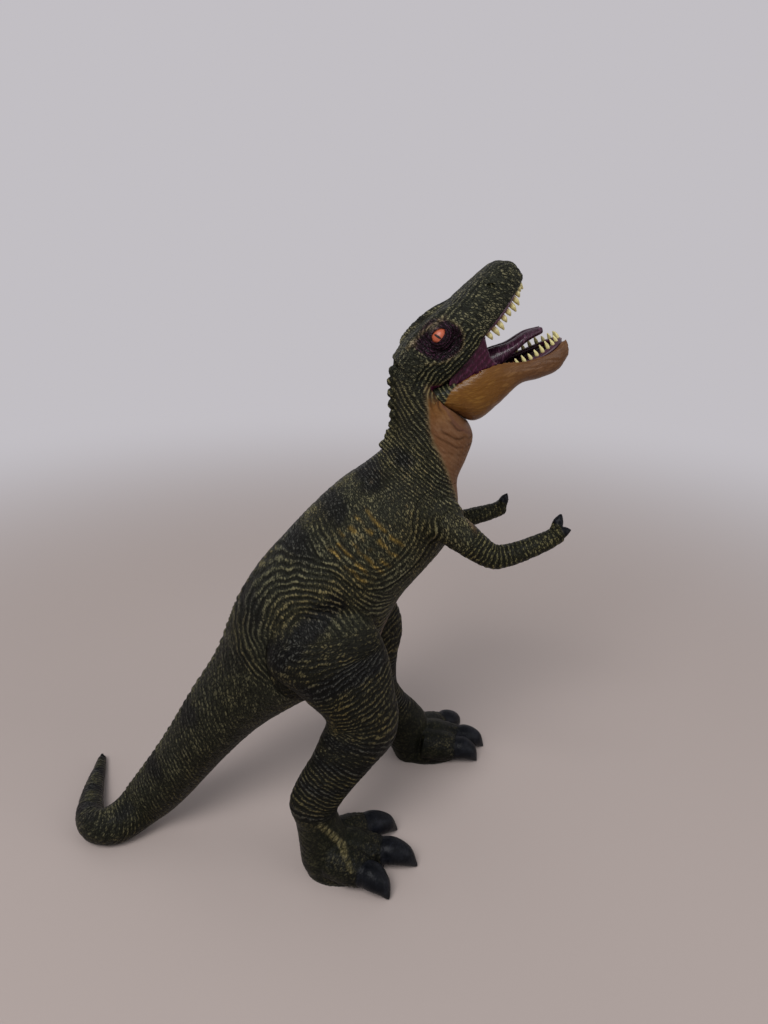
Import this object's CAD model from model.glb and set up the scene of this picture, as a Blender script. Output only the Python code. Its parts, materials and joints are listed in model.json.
"""Looks of a standing toy dinosaur in soft vinyl.

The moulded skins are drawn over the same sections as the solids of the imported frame, with folds,
wrinkles, scales and paint that run on over the seams between the mouldings. Lengths are
millimetres from a point on the ground midway between the feet, until a mesh is placed: +X is
forward, +Y the animal's left and +Z up.
"""

import json
import logging
import math
from dataclasses import dataclass, field
from enum import Enum
from typing import Callable, Sequence

import bpy
import numpy as np
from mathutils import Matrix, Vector

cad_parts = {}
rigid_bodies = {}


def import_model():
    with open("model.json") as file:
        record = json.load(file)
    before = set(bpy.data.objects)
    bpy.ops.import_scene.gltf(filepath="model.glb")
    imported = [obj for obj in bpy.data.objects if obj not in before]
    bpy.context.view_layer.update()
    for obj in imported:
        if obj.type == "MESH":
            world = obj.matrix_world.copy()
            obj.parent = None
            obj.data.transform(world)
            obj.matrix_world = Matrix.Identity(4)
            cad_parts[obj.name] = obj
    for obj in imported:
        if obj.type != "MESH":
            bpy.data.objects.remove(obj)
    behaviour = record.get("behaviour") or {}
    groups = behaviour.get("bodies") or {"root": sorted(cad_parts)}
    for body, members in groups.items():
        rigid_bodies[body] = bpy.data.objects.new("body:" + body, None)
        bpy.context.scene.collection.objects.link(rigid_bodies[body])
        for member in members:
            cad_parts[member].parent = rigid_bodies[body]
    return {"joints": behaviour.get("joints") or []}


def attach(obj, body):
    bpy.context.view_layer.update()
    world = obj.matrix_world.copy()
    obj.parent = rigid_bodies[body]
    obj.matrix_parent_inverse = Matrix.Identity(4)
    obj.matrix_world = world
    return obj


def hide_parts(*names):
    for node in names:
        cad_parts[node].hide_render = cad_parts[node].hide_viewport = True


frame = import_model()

LOG = logging.getLogger("toy_dinosaur")
Array = np.ndarray
Colour = tuple[float, float, float]
Piece = bpy.types.Object
Tree = bpy.types.NodeTree
Socket = bpy.types.NodeSocket

MM = 0.001
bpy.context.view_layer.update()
JOINTS = {joint["name"]: np.array(joint["pos_m"]) / MM for joint in frame["joints"]}

# Fits
CLEARANCE = 0.35
SEAM = 0.3
RELIEF_ROOM = 1.2  # more room than the plain solids need, for the folds that stand proud

# Joints: a point on each axis
NECK = np.array([21.5, 0.0, 288.0])
NECK_LEAN = 18.5
SHOULDER = np.array([31.0, 27.0, 263.0])
HIP = np.array([-45.0, 31.0, 165.0])
JAW = np.array([38.0, 0.0, 342.0])
JAW_SWING = 20.0
HIP_SWING = (-25.0, 20.0)
SHOULDER_SWING = (-45.0, 45.0)
SHIFT = JOINTS["jaw_hinge"] - JAW

HIP_DISC = 43.0
SHOULDER_DISC = 19.0
KNUCKLE_RADIUS = 10.5
KNUCKLE_HALF = 14.0
PIN_RADIUS = 2.0
PIN_HALF = 17.0

# Mouth
LIP_WALL = 4.0
PALATE_DEPTH = 14.0
PALATE_SKIN = 2.4
SNOUT_ROOF = 10.0
WEB_INNER = 17.5
WEB_THICKNESS = 3.8
JAW_WALL = 3.6
JAW_FLOOR = 6.0
MOUTH_FLOOR_SHARE = 0.54
MOUTH_OVER = 8.0
GUM_RADIUS = 2.2
GUM_ROOM = 0.6
SQUARENESS = 2.6  # of the skull's and the jaw's sections, where 2 is an ellipse
MOUTH_FROM = 3
JAW_MOUTH_FROM = 1
UPPER_TOOTH_WAY = np.array([0.77, 0.0, -0.64])
LOWER_TOOTH_WAY = np.array([-0.36, 0.0, 0.93])

# Eyes
EYE = np.array([31.8, 20.6, 378.2])
EYE_RADIUS = 7.2

# Sections seen from the side: the upper end x, z, the lower end x, z, and half of the width
TRUNK = (
    (13, 365, 30, 340, 21),
    (6, 352, 52, 325, 25),
    (6, 335, 60, 310, 28),
    (7, 318, 56, 295, 29),
    (0, 302, 50, 280, 31),
    (-14, 290, 51, 264, 36),
    (-32, 278, 50, 246, 42),
    (-53, 259, 41, 231, 46),
    (-73, 238, 27, 215, 48),
    (-92, 217, 12, 197, 48),
    (-105, 197, 1, 175, 47),
    (-114, 176, -9, 151, 44),
    (-122, 157, -31, 129, 40),
    (-132, 140, -62, 113, 34),
    (-144, 122, -94, 93, 29),
    (-158, 99, -118, 71, 26),
    (-172, 77, -138, 49, 23),
    (-187, 56, -156, 29, 20),
    (-202, 36, -175, 12, 17),
)

# The end of the tail on the ground: x, y, z of its middle and its radius
TAIL_END = (
    (-209, -9, 15, 15.5),
    (-223, -8, 12.6, 13),
    (-232, 4, 10.8, 11),
    (-236, 25, 9, 9.2),
    (-238, 48, 7, 7.2),
    (-239, 70, 4.8, 5),
    (-240, 87, 3.4, 3.4),
)

SKULL = (
    (5, 363, 24, 338, 18),
    (15, 376, 36, 344, 25.5),
    (27, 386, 50, 354, 28.5),
    (39, 396, 61, 371, 26.5),
    (50, 406, 69, 380, 23.5),
    (61, 416, 78, 390, 19),
    (71, 423, 85, 403, 14.5),
    (81, 423, 89, 413, 8.5),
)
LOWER_JAW = (
    (28, 345, 28, 334, 21),
    (43, 354, 43, 328, 26),
    (58, 365, 58, 321, 27),
    (72, 368, 74, 332, 25),
    (86, 366, 88, 345, 22),
    (100, 370, 103, 348, 18),
    (113, 373, 116, 353, 13),
    (121, 374, 123.5, 362, 7),
)
TONGUE = (
    (57, 361, 60, 341, 9),
    (68, 368, 72, 350, 10),
    (81, 372, 84, 363, 10),
    (93, 379, 95, 372, 8),
    (104, 382, 105, 377, 4.5),
)

# Legs, from the top of the thigh to the sole: the front and the back of each section as x, z
# from the hip, then its middle's distance outwards from the hip's face, and half its thickness
RIGHT_LEG = (
    (9, 42, -15, 42, 6, 5),
    (29, 28, -34, 24, 10, 16),
    (40, 4, -42, 0, 14, 22),
    (44, -20, -21, -22, 18, 22),
    (47, -43, -4, -43, 21, 20),
    (43, -61, -9, -57, 23, 18.5),
    (28, -78, -15, -70, 25, 17),
    (12, -97, -24, -85, 26, 15.5),
    (2, -113, -32, -105, 27, 15),
    (5, -127, -28, -123, 27, 15),
    (11, -141, -26, -143, 28, 16),
    (15, -153, -25, -157, 29, 17),
    (12, -166, -21, -166, 29, 15),
)
LEFT_LEG = (
    (11, 42, -13, 42, 6, 5),
    (34, 29, -30, 22, 10, 16),
    (53, 7, -35, -6, 14, 22),
    (64, -15, -14, -34, 18, 22),
    (66, -35, 14, -55, 21, 20),
    (63, -53, 20, -67, 23, 18),
    (62, -71, 25, -77, 25, 16.5),
    (64, -89, 30, -91, 27, 15.5),
    (72, -103, 36, -105, 28, 15),
    (82, -114, 45, -123, 29, 15),
    (90, -127, 54, -142, 30, 16),
    (89, -147, 59, -156, 31, 17),
    (86, -166, 63, -166, 31, 15),
)

# Toes: root, root of the claw and the claw's tip, forward and outward from the hip's face
RIGHT_TOES = (
    (-4, 20, 25, 5, 50, 1),
    (0, 29, 35, 32, 59, 39),
    (-4, 37, 20, 52, 34, 66),
)
LEFT_TOES = (
    (86, 22, 115, 15, 132, 9),
    (88, 31, 121, 30, 143, 28),
    (84, 40, 110, 52, 129, 62),
)
TOE_RADIUS = 12.0
TOE_DROP = 4.0
CLAW_RADIUS = 10.0
CLAW_TIP_HEIGHT = 1.5
INSTEP = (29.0, 20.0, 29.0)
INSTEP_LIFT = 2.0

# Arms: x, z from the shoulder, distance outwards from the shoulder's face, and radius
RIGHT_ARM = (
    (0, -2, 12, 12),
    (14, -11, 17, 11),
    (26, -20, 21, 9.2),
    (35, -24.5, 23, 8.2),
    (46, -23, 24, 7.4),
    (60, -18.5, 24, 6.8),
    (71, -14, 24, 6.2),
    (78, -10.5, 24, 5.6),
)
LEFT_ARM = (
    (0, -2, 12, 12),
    (8, -15, 17, 11),
    (14, -29, 21, 9.2),
    (22, -38, 23, 8.2),
    (34, -37, 24, 7.4),
    (48, -34, 24, 6.8),
    (61, -31, 24, 6.2),
    (70, -28, 24, 5.6),
)
FINGERS = ((2, 13, -4), (6, 5, 5))
FINGER_RADIUS = 4.4
FINGER_TIP = 0.7

# Gum lines from the corner of the mouth to its middle: x, half of the width there, z
UPPER_GUM = ((60, 19, 379.5), (69, 17.2, 388.5), (76.5, 13.8, 398), (81.8, 8.4, 407), (83.8, 0, 412.5))
LOWER_GUM = ((79, 18.2, 354.5), (91, 16.4, 359.5), (103, 13.2, 365), (112, 8.4, 369.8), (117, 0, 372.5))

# The cheek's web between the jaws, seen from the side
CHEEK_EDGE = (
    (37, 341),
    (40, 356),
    (54, 377),
    (61, 378.5),
    (62.5, 371),
    (66, 364.5),
    (73, 358.5),
    (72, 351.5),
    (60, 346),
    (46, 338),
)

X_AXIS = np.array([1.0, 0.0, 0.0])
Y_AXIS = np.array([0.0, 1.0, 0.0])
Z_AXIS = np.array([0.0, 0.0, 1.0])
NECK_AXIS = np.array([math.sin(math.radians(NECK_LEAN)), 0.0, math.cos(math.radians(NECK_LEAN))])


class Cut(Enum):
    """What a tool does to a piece."""

    TAKE_AWAY = "DIFFERENCE"
    KEEP_COMMON = "INTERSECT"
    ADD = "UNION"


def unit(vectors: Array) -> Array:
    """Vectors of length one.

    Args:
        vectors: One vector a row.

    Returns:
        The same directions, each of length one.
    """
    return vectors / np.maximum(np.linalg.norm(vectors, axis=-1, keepdims=True), 1e-9)


def step(low: float, high: float, value: Array) -> Array:
    """A soft step.

    Args:
        low: Where the step starts, at 0.
        high: Where it ends, at 1. It may lie below low.
        value: The values to test.

    Returns:
        Shares from 0 to 1.
    """
    t = np.clip((value - low) / (high - low), 0.0, 1.0)
    return t * t * (3.0 - 2.0 * t)


def bell(distance: Array, width: float) -> Array:
    """A round bump that is 1 at no distance and has faded at about twice the width."""
    return np.exp(-((distance / width) ** 2))


def window(low: float, high: float, soft: float, value: Array) -> Array:
    """1 between two values, and fading to 0 over a soft edge outside them."""
    return step(low - soft, low, value) * step(high + soft, high, value)


def catmull(points: Array, share: Array) -> Array:
    """Points on the centripetal curve through the given ones.

    Args:
        points: The points that the curve passes, one a row.
        share: Places along the curve, from 0 to 1, each given stretch counting alike.

    Returns:
        One point a row for each share.
    """
    count = len(points)
    padded = np.vstack([2 * points[0] - points[1], points, 2 * points[-1] - points[-2]])
    place = np.clip(share, 0.0, 1.0) * (count - 1)
    index = np.minimum(place.astype(int), count - 2)
    t = (place - index)[:, None]
    p0, p1, p2, p3 = (padded[index + k] for k in range(4))
    gaps = [np.linalg.norm(b - a, axis=1) ** 0.5 for a, b in ((p0, p1), (p1, p2), (p2, p3))]
    middle = np.where(gaps[1] < 1e-2, 1.0, gaps[1])
    d0 = np.where(gaps[0] < 1e-2, middle, gaps[0])[:, None]
    d2 = np.where(gaps[2] < 1e-2, middle, gaps[2])[:, None]
    d1 = middle[:, None]
    m1 = ((p1 - p0) / d0 - (p2 - p0) / (d0 + d1) + (p2 - p1) / d1) * d1
    m2 = ((p2 - p1) / d1 - (p3 - p1) / (d1 + d2) + (p3 - p2) / d2) * d1
    return p1 + m1 * t + (3 * (p2 - p1) - 2 * m1 - m2) * t**2 + (2 * (p1 - p2) + m1 + m2) * t**3


def mirrored(point: Sequence[float], side: int) -> Array:
    """A point of the animal's left side for 1, and its mirror image on the right one for -1."""
    return np.array(point) * np.array([1, side, 1])


def away_from(points: Array, spot: Sequence[float]) -> Array:
    """How far points lie from a spot x, z, seen from the side."""
    return np.hypot(points[:, 0] - spot[0], points[:, 2] - spot[-1])


def place(points: Array) -> Array:
    """Millimetres of this script as metres of the frame."""
    return (points + SHIFT) * MM


class Noise:
    """Smooth noise and cells in space, the same on each run."""

    def __init__(self, seed: int) -> None:
        """Draws the tables.

        Args:
            seed: Which noise it is.
        """
        draw = np.random.default_rng(seed)
        self.order = draw.permutation(256)
        self.slopes = unit(draw.normal(size=(256, 3)))
        self.jitter = draw.random((256, 3))

    def _pick(self, cell: Array) -> Array:
        """The table row of each cell."""
        first = self.order[cell[:, 0] & 255]
        second = self.order[(first + cell[:, 1]) & 255]
        return self.order[(second + cell[:, 2]) & 255]

    def wave(self, points: Array) -> Array:
        """Noise of about one bump a unit.

        Args:
            points: Places in space, one a row.

        Returns:
            Values of about -1 to 1.
        """
        cell = np.floor(points).astype(int)
        inside = points - cell
        fade = inside**3 * (inside * (inside * 6 - 15) + 10)
        total = np.zeros(len(points))
        for corner in np.ndindex(2, 2, 2):
            offset = np.array(corner)
            slope = self.slopes[self._pick(cell + offset)]
            weight = np.prod(np.where(offset == 1, fade, 1 - fade), axis=1)
            total += weight * np.sum(slope * (inside - offset), axis=1)
        return np.clip(total * 1.8, -1.0, 1.0)

    def pebbles(self, points: Array) -> Array:
        """Round pebbles packed side by side.

        Args:
            points: Places in space, one a row, with about one pebble a unit.

        Returns:
            0 in the grooves between pebbles, rising to 1 on them.
        """
        cell = np.floor(points).astype(int)
        first = np.full(len(points), 9.0)
        second = first.copy()
        for corner in np.ndindex(3, 3, 3):
            near = cell + np.array(corner) - 1
            away = np.linalg.norm(near + self.jitter[self._pick(near)] - points, axis=1)
            second = np.minimum(second, np.maximum(first, away))
            first = np.minimum(first, away)
        return step(0.02, 0.35, second - first)


NOISES = [Noise(seed) for seed in range(11, 19)]


def warp(points: Array, pitch: float, which: int = 0) -> Array:
    """Noise with bumps of about the given size in millimetres, from -1 to 1."""
    return NOISES[which].wave(points / pitch)


def creases(
    across: Array, along: Array, depth: Array, pitch: float, length: float, which: int
) -> Array:
    """Short wavy wrinkles that lie along one direction.

    Args:
        across: Distance across the wrinkles.
        along: Distance along them.
        depth: Distance in the third direction.
        pitch: Distance between two wrinkles.
        length: Length of a wrinkle.
        which: Which noise it is.

    Returns:
        0 in a groove, rising to 1 on a ridge.
    """
    where = np.stack([across / (pitch * 1.25), along / length, depth / length], 1)
    return np.clip(np.abs(NOISES[which].wave(where)) * 2.6, 0.0, 1.0) ** 0.8


def folds(distance: Array, pitch: float, sharp: float = 0.7) -> Array:
    """Long rounded folds with narrow grooves.

    Args:
        distance: Distance across the folds.
        pitch: Distance between two folds.
        sharp: Below 1 the ridges are broad and the grooves narrow.

    Returns:
        0 in a groove, rising to 1 on a ridge.
    """
    return np.abs(np.sin(np.pi * distance / pitch)) ** sharp


def beside(flat: Array, line: Sequence[tuple[float, float]]) -> tuple[Array, Array, Array]:
    """How points lie beside a broken line.

    Args:
        flat: Points in a plane, one a row.
        line: The line's corners.

    Returns:
        The distance to the line, positive on its left, the share of its length, and how far a
        point lies past the line's ends.
    """
    corners = np.array(line, float)
    lengths = np.linalg.norm(np.diff(corners, axis=0), axis=1)
    starts = np.concatenate([[0.0], np.cumsum(lengths)])
    best = np.full(len(flat), 1e9)
    signed = np.zeros(len(flat))
    share = np.zeros(len(flat))
    past = np.zeros(len(flat))
    for index, length in enumerate(lengths):
        way = (corners[index + 1] - corners[index]) / length
        away = flat - corners[index]
        along = away @ way
        held = np.clip(along, 0.0, length)
        side = way[0] * away[:, 1] - way[1] * away[:, 0]
        gap = np.hypot(side, along - held)
        nearer = gap < best
        best = np.where(nearer, gap, best)
        signed = np.where(nearer, np.where(side < 0, -gap, gap), signed)
        share = np.where(nearer, (starts[index] + held) / starts[-1], share)
        past = np.where(nearer, np.abs(along - held), past)
    return signed, share, past


def smooth_line(corners: Sequence[tuple[float, float]], count: int = 14) -> Array:
    """A curve in a plane through some corners, as short straight stretches."""
    return catmull(np.array(corners, float), np.linspace(0, 1, count))


def beside_curve(points: Array, corners: Sequence[tuple[float, float]], count: int = 14) -> tuple:
    """How points lie beside a curve through corners, seen from the side. Results as for beside."""
    return beside(points[:, [0, 2]], smooth_line(corners, count))


@dataclass(frozen=True)
class Outline:
    """A closed form through sections, each with an upper and a lower end and half its width."""

    tops: Array
    bottoms: Array
    halves: Array
    power: float = 2.0

    @classmethod
    def side_view(cls, rows: Sequence[Sequence[float]], power: float = 2.0) -> "Outline":
        """Sections from side-view rows.

        Args:
            rows: The upper end x, z, the lower end x, z, and half of the width.
            power: Squareness of the sections, where 2 is an ellipse.

        Returns:
            The outline.
        """
        table = np.array(rows, float)
        zero = np.zeros(len(table))
        tops = np.stack([table[:, 0], zero, table[:, 1]], 1)
        bottoms = np.stack([table[:, 2], zero, table[:, 3]], 1)
        return cls(tops, bottoms, table[:, 4], power)

    @classmethod
    def tube(cls, points: Sequence[Array], radii: Sequence[float], count: int = 0) -> "Outline":
        """A round form along points.

        Args:
            points: The middle of each section.
            radii: The radius of each section.
            count: How many sections are made along the curve, or 0 for the given ones.

        Returns:
            The outline.
        """
        share = np.linspace(0, 1, count or len(points))
        middles = catmull(np.array(points, float), share)
        sizes = catmull(np.array(radii, float)[:, None], share)[:, 0]
        ways = unit(np.gradient(middles, axis=0))
        ups = unit(np.cross(ways, X_AXIS if abs(ways[:, 1]).mean() > 0.6 else Y_AXIS))
        return cls(middles + ups * sizes[:, None], middles - ups * sizes[:, None], sizes)

    def joined(self, other: "Outline") -> "Outline":
        """This outline with another after it."""
        return Outline(
            np.vstack([self.tops, other.tops]),
            np.vstack([self.bottoms, other.bottoms]),
            np.concatenate([self.halves, other.halves]),
            self.power,
        )

    def band(
        self, first: int, last: int | None, low: Callable, high: Callable, inset: float
    ) -> "Outline":
        """Sections that keep only a band of some rows.

        Args:
            first: The first row.
            last: The row after the last, or None for all.
            low: The band's lower edge above the row's lower end, from the row's height.
            high: The band's upper edge, likewise.
            inset: How much is taken off half of the width.

        Returns:
            The band's outline.
        """
        tops, bottoms = self.tops[first:last], self.bottoms[first:last]
        heights = np.linalg.norm(tops - bottoms, axis=1)
        ups = unit(tops - bottoms)
        raised = bottoms + ups * np.array([high(h) for h in heights])[:, None]
        lowered = bottoms + ups * np.array([low(h) for h in heights])[:, None]
        return Outline(raised, lowered, self.halves[first:last] - inset, self.power)

    def section(self, share: Array) -> tuple[Array, Array, Array, Array, Array, Array]:
        """The sections at places along the form.

        Args:
            share: Places along it, from 0 to 1.

        Returns:
            The middle, the unit vectors up, sideways and along, half of the height and half of
            the width.
        """
        tops = catmull(self.tops, share)
        bottoms = catmull(self.bottoms, share)
        halves = catmull(self.halves[:, None], share)[:, 0]
        near = 0.3 / (len(self.tops) - 1)
        ends = []
        for sign in (1, -1):
            at = np.clip(share + sign * near, 0, 1)
            ends.append((catmull(self.tops, at) + catmull(self.bottoms, at)) / 2)
        along = unit(ends[0] - ends[1])
        middle = (tops + bottoms) / 2
        height = np.linalg.norm(tops - middle, axis=1)
        up = unit(tops - middle)
        side = unit(np.cross(up, along))
        return middle, up, side, along, height, halves

    def surface(self, share: Array, angle: Array, shrink: Array, past: Array, grow: float) -> Array:
        """Points on the form.

        Args:
            share: Place along it.
            angle: Angle round the section, 0 at its upper end.
            shrink: Share of the section's size, below 1 in the rounded ends.
            past: Distance past the section along the form.
            grow: How much the form is swollen.

        Returns:
            One point a row.
        """
        middle, up, side, along, height, half = self.section(share)
        exponent = 2.0 / self.power
        rise = np.sign(np.cos(angle)) * np.abs(np.cos(angle)) ** exponent
        across = np.sign(np.sin(angle)) * np.abs(np.sin(angle)) ** exponent
        middle = middle + along * past[:, None]
        lift = up * ((height + grow) * rise * shrink)[:, None]
        return middle + lift + side * ((half + grow) * across * shrink)[:, None]


@dataclass
class Spine:
    """Places along and across a form, for what runs along it."""

    outline: Outline
    count: int = 320
    middles: Array = field(init=False)

    def __post_init__(self) -> None:
        """Samples the form."""
        share = np.linspace(0, 1, self.count)
        self.middles, up, _, self.ways, self.heights, self.widths = self.outline.section(share)
        self.ups = unit(up - self.ways * np.sum(up * self.ways, axis=1, keepdims=True))
        self.sides = np.cross(self.ups, self.ways)
        steps = np.linalg.norm(np.diff(self.middles, axis=0), axis=1)
        self.lengths = np.concatenate([[0.0], np.cumsum(steps)])

    def locate(self, points: Array) -> tuple[Array, Array, Array, Array]:
        """Where points lie on the form.

        Args:
            points: Places in space, one a row.

        Returns:
            The distance along, the distances up and sideways from the middle, and the angle
            round the section, 0 at its upper end and pi at its lower end.
        """
        index = np.zeros(len(points), int)
        square = np.sum(self.middles**2, axis=1)
        for start in range(0, len(points), 20000):
            part = points[start : start + 20000]
            index[start : start + 20000] = np.argmin(square - 2 * part @ self.middles.T, axis=1)
        away = points - self.middles[index]
        along = self.lengths[index] + np.sum(away * self.ways[index], axis=1)
        up = np.sum(away * self.ups[index], axis=1)
        side = np.sum(away * self.sides[index], axis=1)
        angle = np.arctan2(np.abs(side) / self.widths[index], up / self.heights[index])
        return along, up, side, angle

    def reach(self, along: Array, up: Array, side: Array, power: float) -> tuple[Array, Array]:
        """How far out points lie, where 1 is the form's surface, and half of its smaller size there."""
        index = np.clip(np.searchsorted(self.lengths, along), 0, self.count - 1)
        high, wide = self.heights[index], self.widths[index]
        ratio = (np.abs(up / high) ** power + np.abs(side / wide) ** power) ** (1 / power)
        return ratio, np.minimum(high, wide)


class Shop:
    """Work on meshes in Blender, as by hand."""

    coarse = 1.0

    @staticmethod
    def clear() -> None:
        """Deselects everything."""
        bpy.ops.object.select_all(action="DESELECT")

    @staticmethod
    def pick(piece: Piece) -> None:
        """Makes one piece the only selected one."""
        Shop.clear()
        piece.select_set(True)
        bpy.context.view_layer.objects.active = piece

    @staticmethod
    def read(piece: Piece, label: str) -> Array:
        """One vector a vertex, "co" for its place in metres or "normal" for the direction outwards."""
        flat = np.empty(len(piece.data.vertices) * 3, np.float32)
        piece.data.vertices.foreach_get(label, flat)
        return flat.reshape(-1, 3).astype(float)

    @staticmethod
    def points(piece: Piece) -> Array:
        """The piece's vertices in this script's millimetres."""
        return Shop.read(piece, "co") / MM - SHIFT

    @staticmethod
    def move(piece: Piece, points: Array) -> None:
        """Puts the piece's vertices at places in this script's millimetres."""
        piece.data.vertices.foreach_set("co", place(points).astype(np.float32).ravel())
        piece.data.update()

    @staticmethod
    def apply(piece: Piece, kind: str, **values: object) -> None:
        """Gives a piece a modifier and applies it.

        Args:
            piece: The piece.
            kind: Blender's name for the modifier.
            **values: Its settings.
        """
        modifier = piece.modifiers.new(kind.lower(), kind)
        for key, value in values.items():
            setattr(modifier, key, value)
        Shop.pick(piece)
        bpy.ops.object.modifier_apply(modifier=modifier.name)

    @staticmethod
    def drop(*pieces: Piece) -> None:
        """Removes helper objects."""
        for piece in pieces:
            bpy.data.objects.remove(piece, do_unlink=True)

    @staticmethod
    def copy(piece: Piece) -> Piece:
        """A copy with its own mesh."""
        twin = piece.copy()
        twin.data = piece.data.copy()
        bpy.context.collection.objects.link(twin)
        return twin

    @staticmethod
    def carve(piece: Piece, tool: Piece, what: Cut, keep_tool: bool = False) -> None:
        """Cuts or joins a piece with a tool.

        Args:
            piece: The piece.
            tool: The tool.
            what: Whether the tool is taken away, added, or what both share is kept.
            keep_tool: Leaves the tool for another cut.
        """
        spare = piece.data.copy()
        Shop.apply(piece, "BOOLEAN", object=tool, operation=what.value, solver="MANIFOLD")
        if len(piece.data.polygons) == 0 and what is not Cut.KEEP_COMMON:
            LOG.warning("%s is cut again with the exact solver", piece.name)
            piece.data = spare
            Shop.apply(piece, "BOOLEAN", object=tool, operation=what.value, solver="EXACT")
        if not keep_tool:
            Shop.drop(tool)

    @staticmethod
    def cut(piece: Piece, *tools: Piece) -> None:
        """Takes tools away from a piece."""
        for tool in tools:
            Shop.carve(piece, tool, Cut.TAKE_AWAY)

    @staticmethod
    def remesh(piece: Piece, voxel: float, smoothing: int = 2) -> None:
        """Gives a piece an even fine mesh.

        Args:
            piece: The piece, which may be several forms that run through each other.
            voxel: The mesh size in millimetres.
            smoothing: How many times the mesh is smoothed afterwards.
        """
        Shop.apply(piece, "REMESH", mode="VOXEL", voxel_size=voxel * Shop.coarse * MM)
        if smoothing:
            Shop.apply(piece, "SMOOTH", factor=0.5, iterations=smoothing)

    @staticmethod
    def join(pieces: Sequence[Piece], name: str) -> Piece:
        """Joins objects into one without cutting them."""
        Shop.pick(pieces[0])
        for piece in pieces[1:]:
            piece.select_set(True)
        if len(pieces) > 1:
            bpy.ops.object.join()
        whole = bpy.context.view_layer.objects.active
        whole.name = name
        return whole

    @staticmethod
    def outwards(piece: Piece) -> None:
        """Turns all faces outwards."""
        Shop.pick(piece)
        bpy.ops.object.mode_set(mode="EDIT")
        bpy.ops.mesh.select_all(action="SELECT")
        bpy.ops.mesh.normals_make_consistent(inside=False)
        bpy.ops.object.mode_set(mode="OBJECT")

    @staticmethod
    def skinned(piece: Piece, skin: Callable) -> Piece:
        """Keeps a cut piece's largest body, without loose slivers, and paints it.

        Args:
            piece: The piece.
            skin: Gives the relief and paint at points.

        Returns:
            The body that is kept.
        """
        name = piece.name
        Shop.pick(piece)
        bpy.ops.mesh.separate(type="LOOSE")
        bodies = list(bpy.context.selected_objects)
        largest = max(bodies, key=lambda body: len(body.data.vertices))
        for body in bodies:
            if body is not largest:
                bpy.data.objects.remove(body, do_unlink=True)
        if largest is not piece:
            largest.name = name
        bpy.context.view_layer.objects.active = largest
        paint_on(largest, skin(Shop.points(largest)))
        return largest

    @staticmethod
    def drawn(
        name: str,
        outline: Outline,
        around: int = 64,
        along: int = 60,
        grow: float = 0.0,
        ends: tuple[float, float] = (0.0, 0.0),
    ) -> Piece:
        """A ball drawn out over the sections of an outline.

        Args:
            name: The object's name.
            outline: The sections.
            around: Vertices round a section.
            along: Rings along the form.
            grow: How much the form is swollen.
            ends: How far each rounded end stands past its last section.

        Returns:
            The closed form.
        """
        Shop.clear()
        bpy.ops.mesh.primitive_uv_sphere_add(segments=around, ring_count=along, radius=1.0)
        piece = bpy.context.object
        piece.name = name
        ball = Shop.read(piece, "co")
        polar = 1.0 - np.arccos(np.clip(ball[:, 2], -1, 1)) / np.pi
        cap = 3.0 / along
        turn = [
            np.clip(1 - polar / cap, 0, 1) * np.pi / 2,
            np.clip(1 - (1 - polar) / cap, 0, 1) * np.pi / 2,
        ]
        share = np.clip((polar - cap) / (1 - 2 * cap), 0, 1)
        shrink = np.cos(turn[0]) * np.cos(turn[1])
        shrink = np.where(shrink < 1e-6, 0.0, shrink)
        past = np.sin(turn[1]) * (ends[1] + grow) - np.sin(turn[0]) * (ends[0] + grow)
        angle = np.arctan2(ball[:, 1], ball[:, 0])
        Shop.move(piece, outline.surface(share, angle, shrink, past, grow))
        Shop.outwards(piece)
        return piece

    @staticmethod
    def ball(name: str, at: Array, radii: Sequence[float], sides: int = 32) -> Piece:
        """A ball stretched along x, y and z, as a start for a form or a tool."""
        Shop.clear()
        bpy.ops.mesh.primitive_uv_sphere_add(segments=sides, ring_count=sides // 2, radius=MM)
        piece = bpy.context.object
        piece.name = name
        unplaced = Shop.points(piece) + SHIFT
        Shop.move(piece, unplaced * np.array(radii) + np.array(at))
        return piece

    @staticmethod
    def rod(name: str, start: Array, end: Array, radius: float, sides: int = 96) -> Piece:
        """A round bar between two points, as a tool or a stub."""
        way = Vector(end - start)
        Shop.clear()
        bpy.ops.mesh.primitive_cylinder_add(
            vertices=sides,
            radius=radius * MM,
            depth=way.length * MM,
            location=Vector(place((start + end) / 2)),
            rotation=way.to_track_quat("Z", "Y").to_euler(),
        )
        bpy.ops.object.transform_apply(location=True, rotation=True, scale=True)
        piece = bpy.context.object
        piece.name = name
        return piece

    @staticmethod
    def block(name: str, low: Sequence[float], high: Sequence[float]) -> Piece:
        """A box between two corners, as a tool."""
        low, high = np.array(low, float), np.array(high, float)
        Shop.clear()
        bpy.ops.mesh.primitive_cube_add(size=1.0, location=Vector(place((low + high) / 2)))
        piece = bpy.context.object
        piece.scale = Vector((high - low) * MM)
        bpy.ops.object.transform_apply(location=True, rotation=True, scale=True)
        piece.name = name
        return piece

    @staticmethod
    def plate(name: str, edge: Sequence[tuple[float, float]], low: float, high: float) -> Piece:
        """A plate with an outline seen from the side, from one y to another."""
        Shop.clear()
        bpy.ops.mesh.primitive_circle_add(vertices=len(edge), radius=1.0, fill_type="NGON")
        piece = bpy.context.object
        piece.name = name
        Shop.move(piece, np.array([(x, low, z) for x, z in edge]))
        bpy.ops.object.mode_set(mode="EDIT")
        bpy.ops.mesh.select_all(action="SELECT")
        bpy.ops.mesh.extrude_region_move(TRANSFORM_OT_translate={"value": (0, (high - low) * MM, 0)})
        bpy.ops.object.mode_set(mode="OBJECT")
        Shop.outwards(piece)
        return piece

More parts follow.
